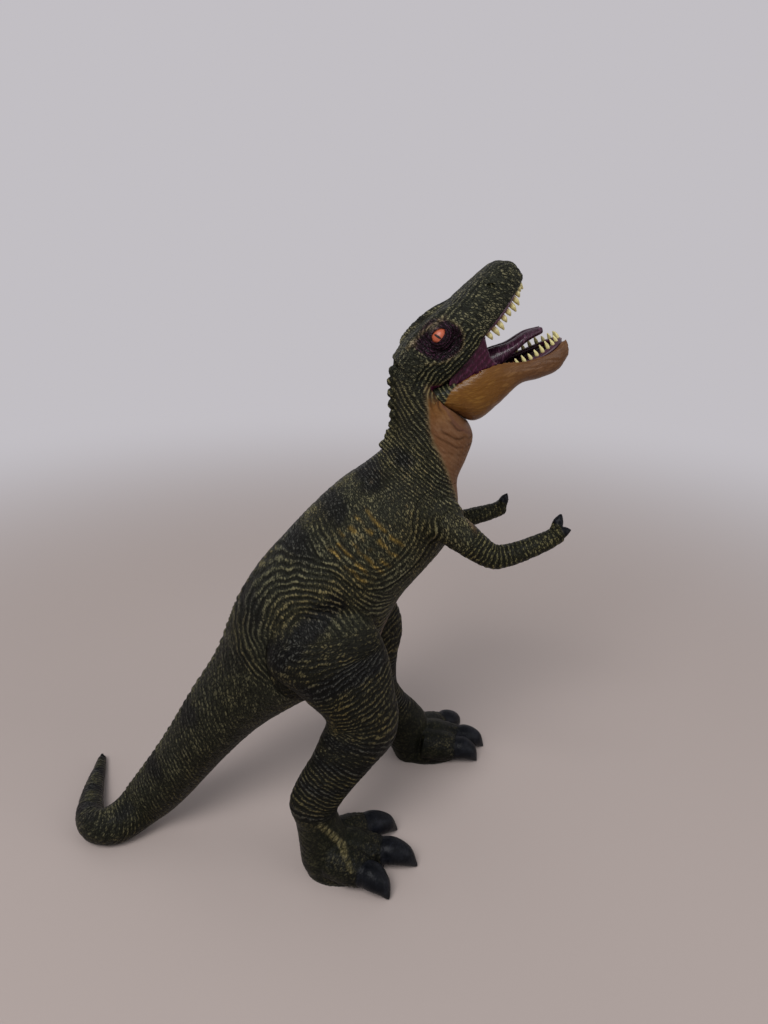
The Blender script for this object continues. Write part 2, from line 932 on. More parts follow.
    @staticmethod
    def turned(piece: Piece, point: Array, degrees: float) -> Piece:
        """Turns a piece about a cross axis through a point. Positive lifts what lies in front."""
        angle = math.radians(degrees)
        away = Shop.points(piece) - point
        x = away[:, 0] * math.cos(angle) - away[:, 2] * math.sin(angle)
        z = away[:, 0] * math.sin(angle) + away[:, 2] * math.cos(angle)
        Shop.move(piece, np.stack([x, away[:, 1], z], 1) + point)
        return piece

    @staticmethod
    def finished(piece: Piece, name: str, body: str, node: str, slot: str) -> Piece:
        """Names a finished piece and ties it to the frame.

        Args:
            piece: The piece.
            name: Its name.
            body: The body that it rides on.
            node: The solid that it stands for.
            slot: The record's material slot.

        Returns:
            The piece.
        """
        piece.name = name
        Shop.pick(piece)
        bpy.ops.object.shade_smooth_by_angle(angle=math.radians(60))
        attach(piece, body)
        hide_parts(node)
        LOG.info("%s: %d vertices", name, len(piece.data.vertices))
        return piece


@dataclass
class Look:
    """Paint and relief of a stretch of skin, one value a point."""

    height: Array
    paint: Array
    brush: Array
    gloss: Array
    flow: Array
    lines: Array
    depths: Array
    fine: Array

    @classmethod
    def plain(cls, points: Array, paint: Colour, brush: Colour, gloss: float) -> "Look":
        """A skin without relief in one colour."""
        count = len(points)
        colours = [np.tile(np.array(colour), (count, 1)) for colour in (paint, brush)]
        rows = np.zeros_like(points)
        level = np.zeros(count)
        return cls(
            level, *colours, np.full(count, gloss), points.copy(), rows, rows.copy(), np.ones(count)
        )

    def draw(self, which: int, field: Array, share: Array) -> None:
        """Draws long lines, one each time that a field has grown by 1.

        Args:
            which: Which of three sets of lines it is.
            field: The field, one value a point.
            share: How deep the lines are, from 0 to 1.
        """
        self.lines[:, which] = field
        self.depths[:, which] = np.clip(share, 0, 1)

    def coat(
        self,
        mask: Array,
        paint: Colour | None,
        brush: Colour | None = None,
        gloss: float | None = None,
        fine: float | None = None,
    ) -> None:
        """Paints over a stretch.

        Args:
            mask: How much of the coat lies on each point, from 0 to 1.
            paint: The colour in the grooves and on the flats, or None to leave it.
            brush: The colour on the ridges, or None to leave it.
            gloss: The roughness, or None to leave it.
            fine: How strong the fine pattern is, or None to leave it.
        """
        share = np.clip(mask, 0, 1)
        for label, value in (("paint", paint), ("brush", brush), ("gloss", gloss), ("fine", fine)):
            if value is not None:
                self._mix(label, np.array(value), share)

    def blend(self, other: "Look", share: Array) -> None:
        """Takes on another look where the share is 1."""
        rows = share[:, None]
        for label in ("height", "gloss", "fine", "paint", "brush"):
            self._mix(label, getattr(other, label), share)
        for label in ("flow", "lines", "depths"):
            setattr(self, label, np.where(rows > 0.5, getattr(other, label), getattr(self, label)))
        self.depths *= np.abs(2 * rows - 1) ** 0.5

    def _mix(self, label: str, value: Array, share: Array) -> None:
        """Takes one of the fields to another value by a share."""
        old = getattr(self, label)
        part = share if old.ndim == 1 else share[:, None]
        setattr(self, label, old * (1 - part) + value * part)


class Hue:
    """The toy's paints, each in the grooves and then on the ridges. None leaves what is there."""

    arm = ((0.017, 0.017, 0.009), (0.13, 0.115, 0.050))
    arm_mottle = ((0.028, 0.025, 0.010), (0.16, 0.125, 0.045))
    belly = ((0.085, 0.048, 0.032), (0.19, 0.12, 0.082))
    black = ((0.0016, 0.0016, 0.0022), (0.050, 0.050, 0.044))
    border = ((0.10, 0.070, 0.034), (0.21, 0.155, 0.085))
    brow = ((0.075, 0.058, 0.034), (0.27, 0.215, 0.12))
    cheek = ((0.016, 0.017, 0.010), (0.165, 0.150, 0.072))
    chin = ((0.110, 0.046, 0.020), (0.17, 0.08, 0.035))
    claw = ((0.0035, 0.0040, 0.0055), (0.014, 0.015, 0.020))
    foot = ((0.0060, 0.0066, 0.0040), (0.034, 0.032, 0.017))
    gold = ((0.12, 0.078, 0.018), (0.42, 0.26, 0.050))
    head = ((0.0215, 0.0230, 0.0145), (0.165, 0.152, 0.085))
    hide = ((0.0250, 0.0255, 0.0160), (0.155, 0.145, 0.083))
    horn = ((0.10, 0.075, 0.045), (0.42, 0.34, 0.24))
    ivory = ((0.62, 0.54, 0.235), (0.74, 0.68, 0.36))
    ivory_root = ((0.20, 0.135, 0.05), (0.42, 0.33, 0.15))
    jaw = ((0.138, 0.056, 0.0085), (0.21, 0.100, 0.018))
    jaw_corner = ((0.013, 0.014, 0.008), (0.16, 0.145, 0.065))
    jaw_front = ((0.105, 0.044, 0.015), (0.165, 0.080, 0.033))
    leg = ((0.0085, 0.0082, 0.0050), (0.085, 0.073, 0.036))
    leg_edge = ((0.035, 0.030, 0.014), (0.24, 0.20, 0.10))
    leg_mottle = ((0.0095, 0.0085, 0.0040), (0.125, 0.096, 0.036))
    leg_speckle = (None, (0.26, 0.17, 0.04))
    mottle = ((0.030, 0.027, 0.013), (0.185, 0.150, 0.058))
    ochre = ((0.15, 0.062, 0.012), (0.21, 0.10, 0.024))
    pale = (None, (0.185, 0.145, 0.062))
    plate = ((0.030, 0.026, 0.012), (0.15, 0.125, 0.060))
    purple = ((0.042, 0.006, 0.020), (0.085, 0.018, 0.046))
    rim = ((0.080, 0.066, 0.032), (0.28, 0.235, 0.12))
    rust = ((0.040, 0.019, 0.009), (0.12, 0.068, 0.030))
    slate = ((0.0016, 0.0016, 0.0022), (0.060, 0.062, 0.062))
    socket = ((0.012, 0.0035, 0.0085), (0.055, 0.020, 0.038))
    sole = ((0.03, 0.03, 0.025), (0.06, 0.06, 0.045))
    soot = ((0.0016, 0.0016, 0.0022), (0.030, 0.030, 0.028))
    speckle = (None, (0.30, 0.20, 0.085))
    tail = ((0.0110, 0.0112, 0.0070), (0.068, 0.062, 0.034))
    tail_side = ((0.0100, 0.0090, 0.0040), (0.080, 0.062, 0.022))
    tail_under = ((0.050, 0.020, 0.014), (0.090, 0.045, 0.030))
    throat = ((0.135, 0.060, 0.026), (0.180, 0.095, 0.050))
    throat_fold = ((0.040, 0.015, 0.005), (0.06, 0.026, 0.010))
    toe = ((0.0042, 0.0044, 0.0036), (0.060, 0.052, 0.027))
    tongue = ((0.040, 0.013, 0.026), (0.12, 0.05, 0.085))


class Hide:
    """Folds, wrinkles, scales and paint of the big skins, as one pattern in space."""

    throat_border = ((22, 345), (23.6, 334.4), (24.9, 318.3), (35.1, 295.9), (44.6, 273.6), (52, 256))
    flank_fold = (
        (-60, 256),
        (-50, 239.5),
        (-38, 228),
        (-20, 218.5),
        (-8, 217),
        (4, 222),
        (14, 230),
        (22, 240),
        (27, 252),
        (29, 264),
    )
    neck_zone = (262, 290)
    tail_zone = (-118, -140)
    dark_tail_zone = (-66, -110)
    curl_zone = (-222, -230)
    throat_zone = (250, 262)
    ochre_zone = (318, 338)
    arc_pitch = 3.7
    flank_pitch = 3.8
    neck_pitch = 2.55
    fold_pitch = 3.3
    throat_pitch = 5.6
    scute_pitch = 6.2
    relief_depth = 0.42
    throat_middle = (54, 340)
    groin = (2, 196)
    shoulder = (6, 274)
    hip_middle = (-58.0, 186.0)
    hip_reach = 50.0
    band_half = 4.6
    hip_bands = (((-38, 212), (-60, 195), (-82, 173)), ((-12, 171), (-34, 165), (-60, 152)))
    back_patches = (
        (-38, 268, 13), (-12, 287, 13), (-63, 243, 15),
        (-98, 197, 16), (8, 300, 9), (-112, 160, 14),
    )
    gold_lines = (144.0, 150.0, 156.5, 163.5, 171.0, 178.0)

    def __init__(self) -> None:
        """Makes the spines that the pattern follows."""
        self.trunk_outline = Outline.side_view(TRUNK).joined(
            Outline(
                np.array([(x, y, z + r) for x, y, z, r in TAIL_END]),
                np.array([(x, y, z - r) for x, y, z, r in TAIL_END]),
                np.array([r for *_, r in TAIL_END]),
            )
        )
        self.spine = Spine(self.trunk_outline)

    def look(self, points: Array) -> Look:
        """The pattern at points on or near the trunk, neck and tail.

        Args:
            points: Places in space, one a row.

        Returns:
            The relief and paint there.
        """
        x, _, z = points.T
        along, up, side, angle = self.spine.locate(points)
        look = Look.plain(points, *Hue.hide, 0.5)
        wide = warp(points, 26.0, 0)
        small = warp(points, 9.0, 1)
        under = step(0.80, 0.93, angle / np.pi + 0.03 * small)
        neck = step(*self.neck_zone, z + 0.25 * x)
        tail = step(*self.tail_zone, x)
        ahead, above = x - self.hip_middle[0], z - self.hip_middle[1]
        ring = np.hypot(ahead * (1 - 0.25 * step(-10, 30, ahead)), above)
        level = step(18, 58, ahead)
        arc_gap = ring * (1 - level) + (above + 28.5) * level - self.hip_reach
        fold_gap, _, fold_past = beside_curve(points, self.flank_fold, 26)
        rise = z - 285
        neck_run = 0.72 * (x + 1.28 * rise - 0.0073 * rise**2)
        arcs = window(-32, 1.5, 6, arc_gap + 1.5 * small) * step(64, 52, ahead) * (1 - neck)
        arcs *= step(-44, -30, above) * step(-62, -44, ahead)
        flank = window(-1, 15, 9, fold_gap) * step(10, 0, fold_past) * (1 - arcs) * (1 - neck)
        groin = bell(away_from(points, self.groin), 15)
        bent = 0.28 * small + 0.35 * warp(points, 17, 4)
        arc_line = arc_gap / self.arc_pitch + bent
        fold_line = fold_gap / self.flank_pitch + bent
        neck_line = neck_run / self.neck_pitch + 0.25 * small + 0.5 * warp(points, 20, 4)
        broken = 0.45 + 0.55 * step(-0.3, 0.4, warp(points, 11, 5))
        look.draw(0, arc_line, arcs * broken)
        look.draw(1, fold_line, 0.85 * flank * broken * step(0.3, 0.7, angle))
        rest_line = (along + 0.55 * up) / self.fold_pitch + bent + 0.3 * warp(points, 6, 6)
        rest = (0.30 + 0.3 * tail) * (1 - arcs) * (1 - flank) * (1 - 0.8 * groin) * broken
        on_neck = neck > 0.5
        share = (
            np.where(on_neck, 0.75 * neck * (0.5 + 0.5 * broken), rest)
            * np.abs(2 * neck - 1) ** 0.5 * (1 - under)
        )
        look.draw(2, np.where(on_neck, neck_line, rest_line), share)
        look.flow = np.stack([along + 0.55 * up, up, side], 1)
        wrinkle = creases(along + 0.55 * up, up, side, 2.9, 8.0, 2)
        calm = np.clip(1 - 0.7 * under - 0.35 * neck, 0.2, 1) * (1 - 0.75 * groin)
        height = self.relief_depth * (wrinkle - 0.6) * calm
        height += 0.50 * (folds(arc_line, 1.0, 0.5) - 0.8) * arcs
        height += 0.34 * (folds(fold_line, 1.0, 0.5) - 0.8) * flank
        height += 0.25 * (folds(rest_line, 1.0, 0.5) - 0.8) * rest * (1 - neck)
        height += self.relief_depth * (folds(neck_line, 1.0, 0.5) - 0.8) * neck * (1 - under)
        throat_gap, _, throat_past = beside_curve(points, self.throat_border)
        front = (
            step(-0.6, 1.0, throat_gap + 0.8 * small)
            * step(*self.throat_zone, z) * step(6, 0, throat_past)
        )
        throat_run = away_from(points, self.throat_middle)
        throat_fold = folds(throat_run + 1.8 * small, self.throat_pitch, 0.35)
        folded = front * step(48, 26, throat_run) * step(-0.5, 0.3, warp(points, 15, 3))
        height += 0.8 * (throat_fold - 0.9) * folded
        fold_near = step(8, 0, fold_past) * (1 - under) * step(0.5, 1.1, angle)
        height += fold_near * (-0.75 * bell(fold_gap + 0.5, 1.2) + 0.3 * bell(fold_gap - 2.0, 1.8))
        lengthwise = folds(side * 0.8 + np.abs(side) * 0.2 + 2.0 * small + 0.3 * up, 4.4)
        height += 0.4 * (lengthwise - 0.6) * step(0.62, 0.78, angle / np.pi) * (1 - neck) * (1 - tail)
        knobs = (
            bell(side, 3.4) * step(0.5, 0.2, angle)
            * np.abs(np.sin(np.pi * along / self.scute_pitch))
        )
        height += 1.4 * knobs * step(20, 60, along) * step(0, 1, up)
        self._coats(look, points, angle, under, neck, tail, wide, small)
        look.coat(front, *Hue.throat, 0.42, 0.15)
        look.depths *= 1 - front[:, None]
        look.coat(front * step(*self.ochre_zone, z) * 0.7, *Hue.ochre)
        border = bell(throat_gap, 1.3) * step(252, 262, z) * step(3, 0, throat_past)
        look.coat(border, *Hue.border)
        pale = arcs * step(-0.4, 0.5, wide) + 0.6 * flank * step(0, 0.6, wide)
        look.coat(0.6 * pale, *Hue.pale)
        look.coat(0.8 * step(0.84, 0.55, throat_fold) * folded, *Hue.throat_fold)
        look.height = height
        return look

    def _coats(
        self,
        look: Look,
        points: Array,
        angle: Array,
        under: Array,
        neck: Array,
        tail: Array,
        wide: Array,
        small: Array,
    ) -> None:
        """Paints the trunk.

        Args:
            look: The skin, which is changed.
            points: Places in space.
            angle: Angle round the trunk's section.
            under: How much a point belongs to the underside.
            neck: How much it belongs to the neck.
            tail: How much it belongs to the tail.
            wide: Broad noise there.
            small: Finer noise there.
        """
        x, y, z = points.T
        look.coat(step(0.1, 0.9, 0.5 + 0.6 * wide) * 0.5, *Hue.mottle)
        for *spot, radius in self.back_patches:
            away = away_from(points, spot) + 3.5 * small
            look.coat(0.85 * step(radius, radius * 0.35, away) * step(2.2, 1.2, angle), *Hue.slate)
        run = (x + z) / math.sqrt(2)
        reach = (x - z) / math.sqrt(2)
        for line in self.gold_lines:
            away = run - line + 1.6 * small
            held = window(-203, -172, 6, reach + 6 * wide) * step(10, 22, np.abs(y))
            broken = step(-0.5, 0.2, warp(points, 6.0, 6))
            look.coat(0.95 * bell(away, 1.2) * held * broken, *Hue.gold, None, 0.5)
        speckle = step(0.15, 0.7, warp(points, 3.4, 6))
        near_shoulder = bell(away_from(points, self.shoulder), 26)
        look.coat(0.6 * speckle * near_shoulder, *Hue.speckle)
        self.bands(look, points, small)
        look.coat(under * (1 - neck), *Hue.belly, 0.45, 0.5)
        look.coat(under * tail, *Hue.rust)
        look.coat(0.7 * step(*self.dark_tail_zone, x), *Hue.tail, 0.38)
        look.coat(0.6 * tail * step(1.2, 2.0, angle), *Hue.tail_side)
        curl = step(*self.curl_zone, x) * step(-4, 4, y)
        look.coat(curl * step(0.1, 0.5, np.sin(y / 4.2 + small)), *Hue.black)
        look.coat(0.8 * tail * step(0.05, 0.45, wide) * step(1.4, 0.9, angle), *Hue.soot)
        look.coat(0.7 * tail * step(2.3, 2.8, angle), *Hue.tail_under, 0.3)

    def bands(self, look: Look, points: Array, small: Array) -> None:
        """Paints the black bands over the hip.

        Args:
            look: The skin, which is changed.
            points: Places in space.
            small: Fine noise there.
        """
        for band in self.hip_bands:
            gap, _, past = beside_curve(points, band)
            mask = (
                bell(np.maximum(np.abs(gap) - self.band_half + 2.5 * small, 0), 3.2)
                * step(9, 0, past)
            )
            look.coat(0.95 * mask * step(14, 26, np.abs(points[:, 1])), *Hue.black, 0.36)


HIDE = Hide()


def add_node(tree: Tree, kind: str, wires: dict, **values: object) -> bpy.types.Node:
    """A node with its inputs wired or set.

    Args:
        tree: Where the node goes.
        kind: Blender's name for it, without the first word.
        wires: Inputs by name or number, each a socket or a value.
        **values: Its own settings.

    Returns:
        The node.
    """
    node = tree.nodes.new(f"ShaderNode{kind}")
    for key, value in values.items():
        setattr(node, key, value)
    for key, value in wires.items():
        if isinstance(value, Socket):
            tree.links.new(value, node.inputs[key])
        else:
            node.inputs[key].default_value = value
    return node


def new_material(name: str) -> tuple[bpy.types.Material, Tree, bpy.types.Node]:
    """A new material with its tree and shader."""
    material = bpy.data.materials.new(name)
    material.use_nodes = True
    return material, material.node_tree, material.node_tree.nodes["Principled BSDF"]


@dataclass(frozen=True)
class Vinyl:
    """A painted soft vinyl finish that reads its paint from the piece.

    The pitch and the stretch are those of its fine ticks. The grain is the height of its bumps in
    millimetres, the depth how dark its grooves are, and the brushing how strong the paint is that
    was dry-brushed on its ridges. The coat is a clear one, and the shine is the specular level.
    """

    name: str
    pitch: float = 1.3
    stretch: float = 2.0
    grain: float = 0.45
    depth: float = 0.80
    coat: float = 0.0
    shine: float = 0.09
    brushing: float = 1.0


class Finishes:
    """The toy's materials, with node groups that they share."""

    def __init__(self) -> None:
        """Builds the groups."""
        self.ticks = self._tick_group()
        self.lines = self._line_group()
        self.brushing = self._brush_group()
        self.gloss = self._gloss_group()

    @staticmethod
    def _group(name: str, inputs: dict[str, str], outputs: dict[str, str]) -> Tree:
        """A node group with named sockets.

        Args:
            name: Its name.
            inputs: Names and kinds of what goes in.
            outputs: Names and kinds of what comes out.

        Returns:
            The group with its input and output nodes.
        """
        group = bpy.data.node_groups.new(name, "ShaderNodeTree")
        for way, sockets in (("INPUT", inputs), ("OUTPUT", outputs)):
            for label, kind in sockets.items():
                group.interface.new_socket(label, in_out=way, socket_type=f"NodeSocket{kind}")
        group.nodes.new("NodeGroupInput").name = "in"
        group.nodes.new("NodeGroupOutput").name = "out"
        return group

    @staticmethod
    def _math(tree: Tree, operation: str, *values: object) -> Socket:
        """The result of a sum on sockets and numbers."""
        return add_node(tree, "Math", dict(enumerate(values)), operation=operation).outputs[0]

    def _tick_group(self) -> Tree:
        """Small pebbles stretched across a skin's flow, each with its own luck at being brushed."""
        outputs = {"Height": "Float", "Luck": "Float"}
        group = self._group(
            "skin_ticks", {"Flow": "Vector", "Pitch": "Float", "Stretch": "Float"}, outputs
        )
        source, target = group.nodes["in"], group.nodes["out"]
        parts = add_node(group, "SeparateXYZ", {0: source.outputs["Flow"]})
        across = self._math(group, "DIVIDE", parts.outputs[0], source.outputs["Pitch"])
        length = self._math(group, "MULTIPLY", source.outputs["Pitch"], source.outputs["Stretch"])
        along = self._math(group, "DIVIDE", parts.outputs[1], length)
        depth = self._math(group, "DIVIDE", parts.outputs[2], length)
        where = add_node(group, "CombineXYZ", {0: across, 1: along, 2: depth}).outputs[0]
        noise = add_node(
            group, "TexNoise", {"Vector": where, "Scale": 0.45, "Detail": 1.0}
        ).outputs["Color"]
        bent = add_node(
            group, "VectorMath", {0: noise, 1: (1.1, 1.1, 1.1), 2: where}, operation="MULTIPLY_ADD"
        ).outputs[0]
        edge = add_node(group, "TexVoronoi", {"Vector": bent, "Scale": 1.0}, feature="DISTANCE_TO_EDGE")
        cell = add_node(group, "TexVoronoi", {"Vector": bent, "Scale": 1.0}, feature="F1")
        top = self._range(group, edge.outputs["Distance"], 0.0, 0.26, 0.0, 1.0)
        luck = add_node(group, "SeparateXYZ", {0: cell.outputs["Color"]}).outputs[0]
        group.links.new(top, target.inputs["Height"])
        group.links.new(luck, target.inputs["Luck"])
        return group

    def _line_group(self) -> Tree:
        """Grooves where three fields pass whole numbers: 0 in one, 1 on a crest, 0.62 elsewhere."""
        group = self._group("fold_lines", {"Lines": "Vector", "Depths": "Vector"}, {"Height": "Float"})
        source, target = group.nodes["in"], group.nodes["out"]
        fields = add_node(group, "SeparateXYZ", {0: source.outputs["Lines"]}).outputs
        depths = add_node(group, "SeparateXYZ", {0: source.outputs["Depths"]}).outputs
        total = most = None
        for field, depth in zip(fields, depths):
            away = self._math(group, "PINGPONG", field, 0.5)
            groove = self._range(group, away, 0.05, 0.5, 1.0, 0.0)
            sunk = self._math(group, "MULTIPLY", groove, depth)
            total = sunk if total is None else self._math(group, "MAXIMUM", total, sunk)
            most = depth if most is None else self._math(group, "MAXIMUM", most, depth)
        plain = self._math(group, "MULTIPLY_ADD", most, 0.38, 0.62)
        group.links.new(self._math(group, "SUBTRACT", plain, total), target.inputs["Height"])
        return group

    def _brush_group(self) -> Tree:
        """Dry-brushed ridges and dark grooves over a paint."""
        floats = ("Relief", "Fine", "Lines", "Luck", "Patch", "Depth", "Amount")
        inputs = {"Paint": "Color", "Brush": "Color", **dict.fromkeys(floats, "Float")}
        group = self._group("dry_brush", inputs, {"Color": "Color"})
        source, target = group.nodes["in"], group.nodes["out"]
        level = self._math(group, "MULTIPLY", source.outputs["Relief"], 0.4)
        for label, weight in (("Lines", 0.8), ("Fine", 0.45), ("Luck", 0.35), ("Patch", 0.8)):
            level = self._math(group, "MULTIPLY_ADD", source.outputs[label], weight, level)
        ridge = self._range(group, level, 1.52, 2.0, 0.0, 1.0)
        held = self._math(group, "MULTIPLY", ridge, source.outputs["Amount"])
        low = self._math(group, "MULTIPLY", source.outputs["Relief"], 0.4)
        for label, weight in (("Lines", 0.6), ("Fine", 0.5)):
            low = self._math(group, "MULTIPLY_ADD", source.outputs[label], weight, low)
        sunk = self._math(
            group, "MULTIPLY", self._range(group, low, 0.5, 0.95, 1.0, 0.0), source.outputs["Depth"]
        )
        dark = self._mix(group, sunk, source.outputs["Paint"], (0.003, 0.003, 0.002, 1))
        group.links.new(self._mix(group, held, dark, source.outputs["Brush"]), target.inputs["Color"])
        return group

    @staticmethod
    def _range(tree: Tree, value: object, low: float, high: float, first: float, last: float) -> Socket:
        """A smooth step from one value to another."""
        wires = {0: value, 1: low, 2: high, 3: first, 4: last}
        return add_node(tree, "MapRange", wires, interpolation_type="SMOOTHSTEP").outputs[0]

    @staticmethod
    def _mix(tree: Tree, factor: object, first: object, second: object) -> Socket:
        """A mix of two colours."""
        return add_node(tree, "Mix", {0: factor, 6: first, 7: second}, data_type="RGBA").outputs[2]

    def _gloss_group(self) -> Tree:
        """Roughness that falls on rubbed ridges and rises in grooves and dusty patches."""
        inputs = dict.fromkeys(("Base", "Relief", "Patch"), "Float")
        group = self._group("rubbed_gloss", inputs, {"Roughness": "Float"})
        source, target = group.nodes["in"], group.nodes["out"]
        ridge = self._math(group, "MULTIPLY_ADD", source.outputs["Relief"], -0.16, 0.08)
        patch = self._math(group, "MULTIPLY_ADD", source.outputs["Patch"], 0.24, -0.12)
        total = self._math(group, "ADD", self._math(group, "ADD", source.outputs["Base"], ridge), patch)
        clamp = add_node(group, "Clamp", {0: total, 1: 0.12, 2: 0.85})
        group.links.new(clamp.outputs[0], target.inputs["Roughness"])
        return group

    def vinyl(self, finish: Vinyl) -> bpy.types.Material:
        """A painted vinyl skin.

        Args:
            finish: Its values.

        Returns:
            The material.
        """
        material, tree, shader = new_material(finish.name)
        read = {
            label: add_node(tree, "Attribute", {}, attribute_name=label)
            for label in ("paint", "brush", "relief", "gloss", "flow", "lines", "depths")
        }
        vectors = {label: node.outputs["Vector"] for label, node in read.items()}
        ticks = {"Flow": vectors["flow"], "Pitch": finish.pitch, "Stretch": finish.stretch}
        fine = add_node(tree, "Group", ticks, node_tree=self.ticks)
        lines = add_node(
            tree, "Group", {"Lines": vectors["lines"], "Depths": vectors["depths"]},
            node_tree=self.lines,
        )
        share = read["paint"].outputs["Alpha"]
        level = self._math(tree, "SUBTRACT", fine.outputs["Height"], 1.0)
        level = self._math(tree, "MULTIPLY_ADD", level, share, 1.0)
        luck = self._math(tree, "SUBTRACT", fine.outputs["Luck"], 0.5)
        luck = self._math(tree, "MULTIPLY_ADD", luck, share, 0.5)
        coords = add_node(tree, "TexCoord", {}).outputs["Object"]
        patch = add_node(
            tree, "TexNoise", {"Vector": coords, "Scale": 95.0, "Detail": 3.0, "Roughness": 0.6}
        )
        grain = add_node(tree, "TexNoise", {"Vector": coords, "Scale": 1500.0, "Detail": 2.0})
        relief = read["relief"].outputs["Fac"]
        wires = {
            "Paint": read["paint"].outputs["Color"],
            "Brush": read["brush"].outputs["Color"],
            "Relief": relief,
            "Fine": level,
            "Lines": lines.outputs["Height"],
            "Luck": luck,
            "Patch": patch.outputs["Fac"],
            "Depth": finish.depth,
            "Amount": finish.brushing,
        }
        colour = add_node(tree, "Group", wires, node_tree=self.brushing)
        tree.links.new(colour.outputs["Color"], shader.inputs["Base Color"])
        wires = {"Base": read["gloss"].outputs["Fac"], "Relief": relief, "Patch": patch.outputs["Fac"]}
        gloss = add_node(tree, "Group", wires, node_tree=self.gloss)
        tree.links.new(gloss.outputs["Roughness"], shader.inputs["Roughness"])
        rough = self._math(tree, "MULTIPLY_ADD", level, 0.5, lines.outputs["Height"])
        rough = self._math(tree, "MULTIPLY_ADD", grain.outputs["Fac"], 0.14, rough)
        bump = add_node(tree, "Bump", {"Strength": 1.0, "Distance": finish.grain * MM, "Height": rough})
        tree.links.new(bump.outputs["Normal"], shader.inputs["Normal"])
        shader.inputs["Coat Weight"].default_value = finish.coat
        shader.inputs["Coat Roughness"].default_value = 0.25
        shader.inputs["Specular IOR Level"].default_value = finish.shine
        return material


def paint_on(piece: Piece, look: Look) -> None:
    """Keeps a skin's paint and relief on its mesh.

    Args:
        piece: The piece.
        look: One value a vertex.
    """
    mesh = piece.data
    level = np.clip(0.5 + look.height / 1.3, 0, 1)
    for label, values in (("relief", level), ("gloss", look.gloss)):
        mesh.attributes.new(label, "FLOAT", "POINT").data.foreach_set(
            "value", values.astype(np.float32)
        )
    for label, values in (("paint", look.paint), ("brush", look.brush)):
        rgba = np.hstack([values, look.fine[:, None]]).astype(np.float32)
        mesh.attributes.new(label, "FLOAT_COLOR", "POINT").data.foreach_set("color", rgba.ravel())
    for label, values in (("flow", look.flow), ("lines", look.lines), ("depths", look.depths)):
        vectors = mesh.attributes.new(label, "FLOAT_VECTOR", "POINT")
        vectors.data.foreach_set("vector", values.astype(np.float32).ravel())


def press(piece: Piece, look: Look) -> None:
    """Moves a skin's vertices out by its relief."""
    Shop.move(piece, Shop.points(piece) + Shop.read(piece, "normal") * look.height[:, None])


@dataclass
class Trunk:
    """The trunk and the tail."""

    voxel: float = 1.2
    hip_stub: tuple[float, float, float, float] = (12.0, 8.0, 16.0, 4.0)
    shoulder_stub: tuple[float, float, float, float] = (6.0, 6.0, 8.5, 3.0)
    neck_stub: tuple[float, float, float, float] = (14.0, 8.0, 18.0, 4.0)

    @staticmethod
    def plain(name: str, grow: float = 0.0, along: int = 260, around: int = 96) -> Piece:
        """The trunk with the neck and tail in one, smooth."""
        return Shop.drawn(name, HIDE.trunk_outline, around, along, grow, ends=(0.0, 1.6))

    @staticmethod
    def stub(face: Array, inwards: Array, size: tuple, grow: float) -> Piece:
        """A stub with a flange at its inner end.

        Args:
            face: The middle of its root.
            inwards: The direction that it points in.
            size: Radius, length, flange radius and flange thickness.
            grow: 0 for the stub and the clearance for its socket.

        Returns:
            The stub.
        """
        radius, length, flange, thickness = size
        start = face - inwards
        flange_start = face + inwards * (length - grow)
        end = face + inwards * (length + thickness + grow)
        bar = Shop.rod("stub", start, end, radius + grow, 48)
        Shop.carve(bar, Shop.rod("flange", flange_start, end, flange + grow, 48), Cut.ADD)
        return bar

    @staticmethod
    def disc(joint: Array, side: int, radius: float, grow: float) -> Piece:
        """The round region of a side joint, from its face outwards."""
        face = mirrored(joint, side) - Y_AXIS * side * grow
        return Shop.rod("disc", face, face + Y_AXIS * side * (radius + 40), radius + grow, 192)

    @staticmethod
    def ground() -> Piece:
        """What lies below the ground, as a tool."""
        return Shop.block("ground", (-400, -300, -60), (300, 300, 0))

    def build(self) -> Piece:
        """Makes the piece."""
        piece = self.plain("body")
        Shop.remesh(piece, self.voxel)
        press(piece, HIDE.look(Shop.points(piece)))
        top = NECK - NECK_AXIS * SEAM / 2
        Shop.cut(piece, Shop.rod("above", top, top + NECK_AXIS * 160, 160, 32))
        Shop.cut(piece, Trunk.ground())
        Shop.cut(piece, self.stub(NECK, -NECK_AXIS, self.neck_stub, CLEARANCE))
        plugs = ((HIP, HIP_DISC, self.hip_stub), (SHOULDER, SHOULDER_DISC, self.shoulder_stub))
        for side in (-1, 1):
            for joint, radius, size in plugs:
                Shop.cut(piece, self.disc(joint, side, radius, CLEARANCE))
                Shop.cut(piece, self.stub(mirrored(joint, side), -Y_AXIS * side, size, CLEARANCE))
        piece = Shop.skinned(piece, HIDE.look)
        return Shop.finished(piece, "body_hide", "trunk", "body_skin", "hide")


class Plate:
    """Beige scales in a row down the foot's outer side."""

    line = ((-57.5, 52.0), (-52.0, 44.5), (-46.0, 36.0), (-40.0, 27.5), (-36.0, 21.0))
    left_ahead = 84.0  # how far the left foot is ahead of the right one
    pitch = 4.6
    half = 2.9


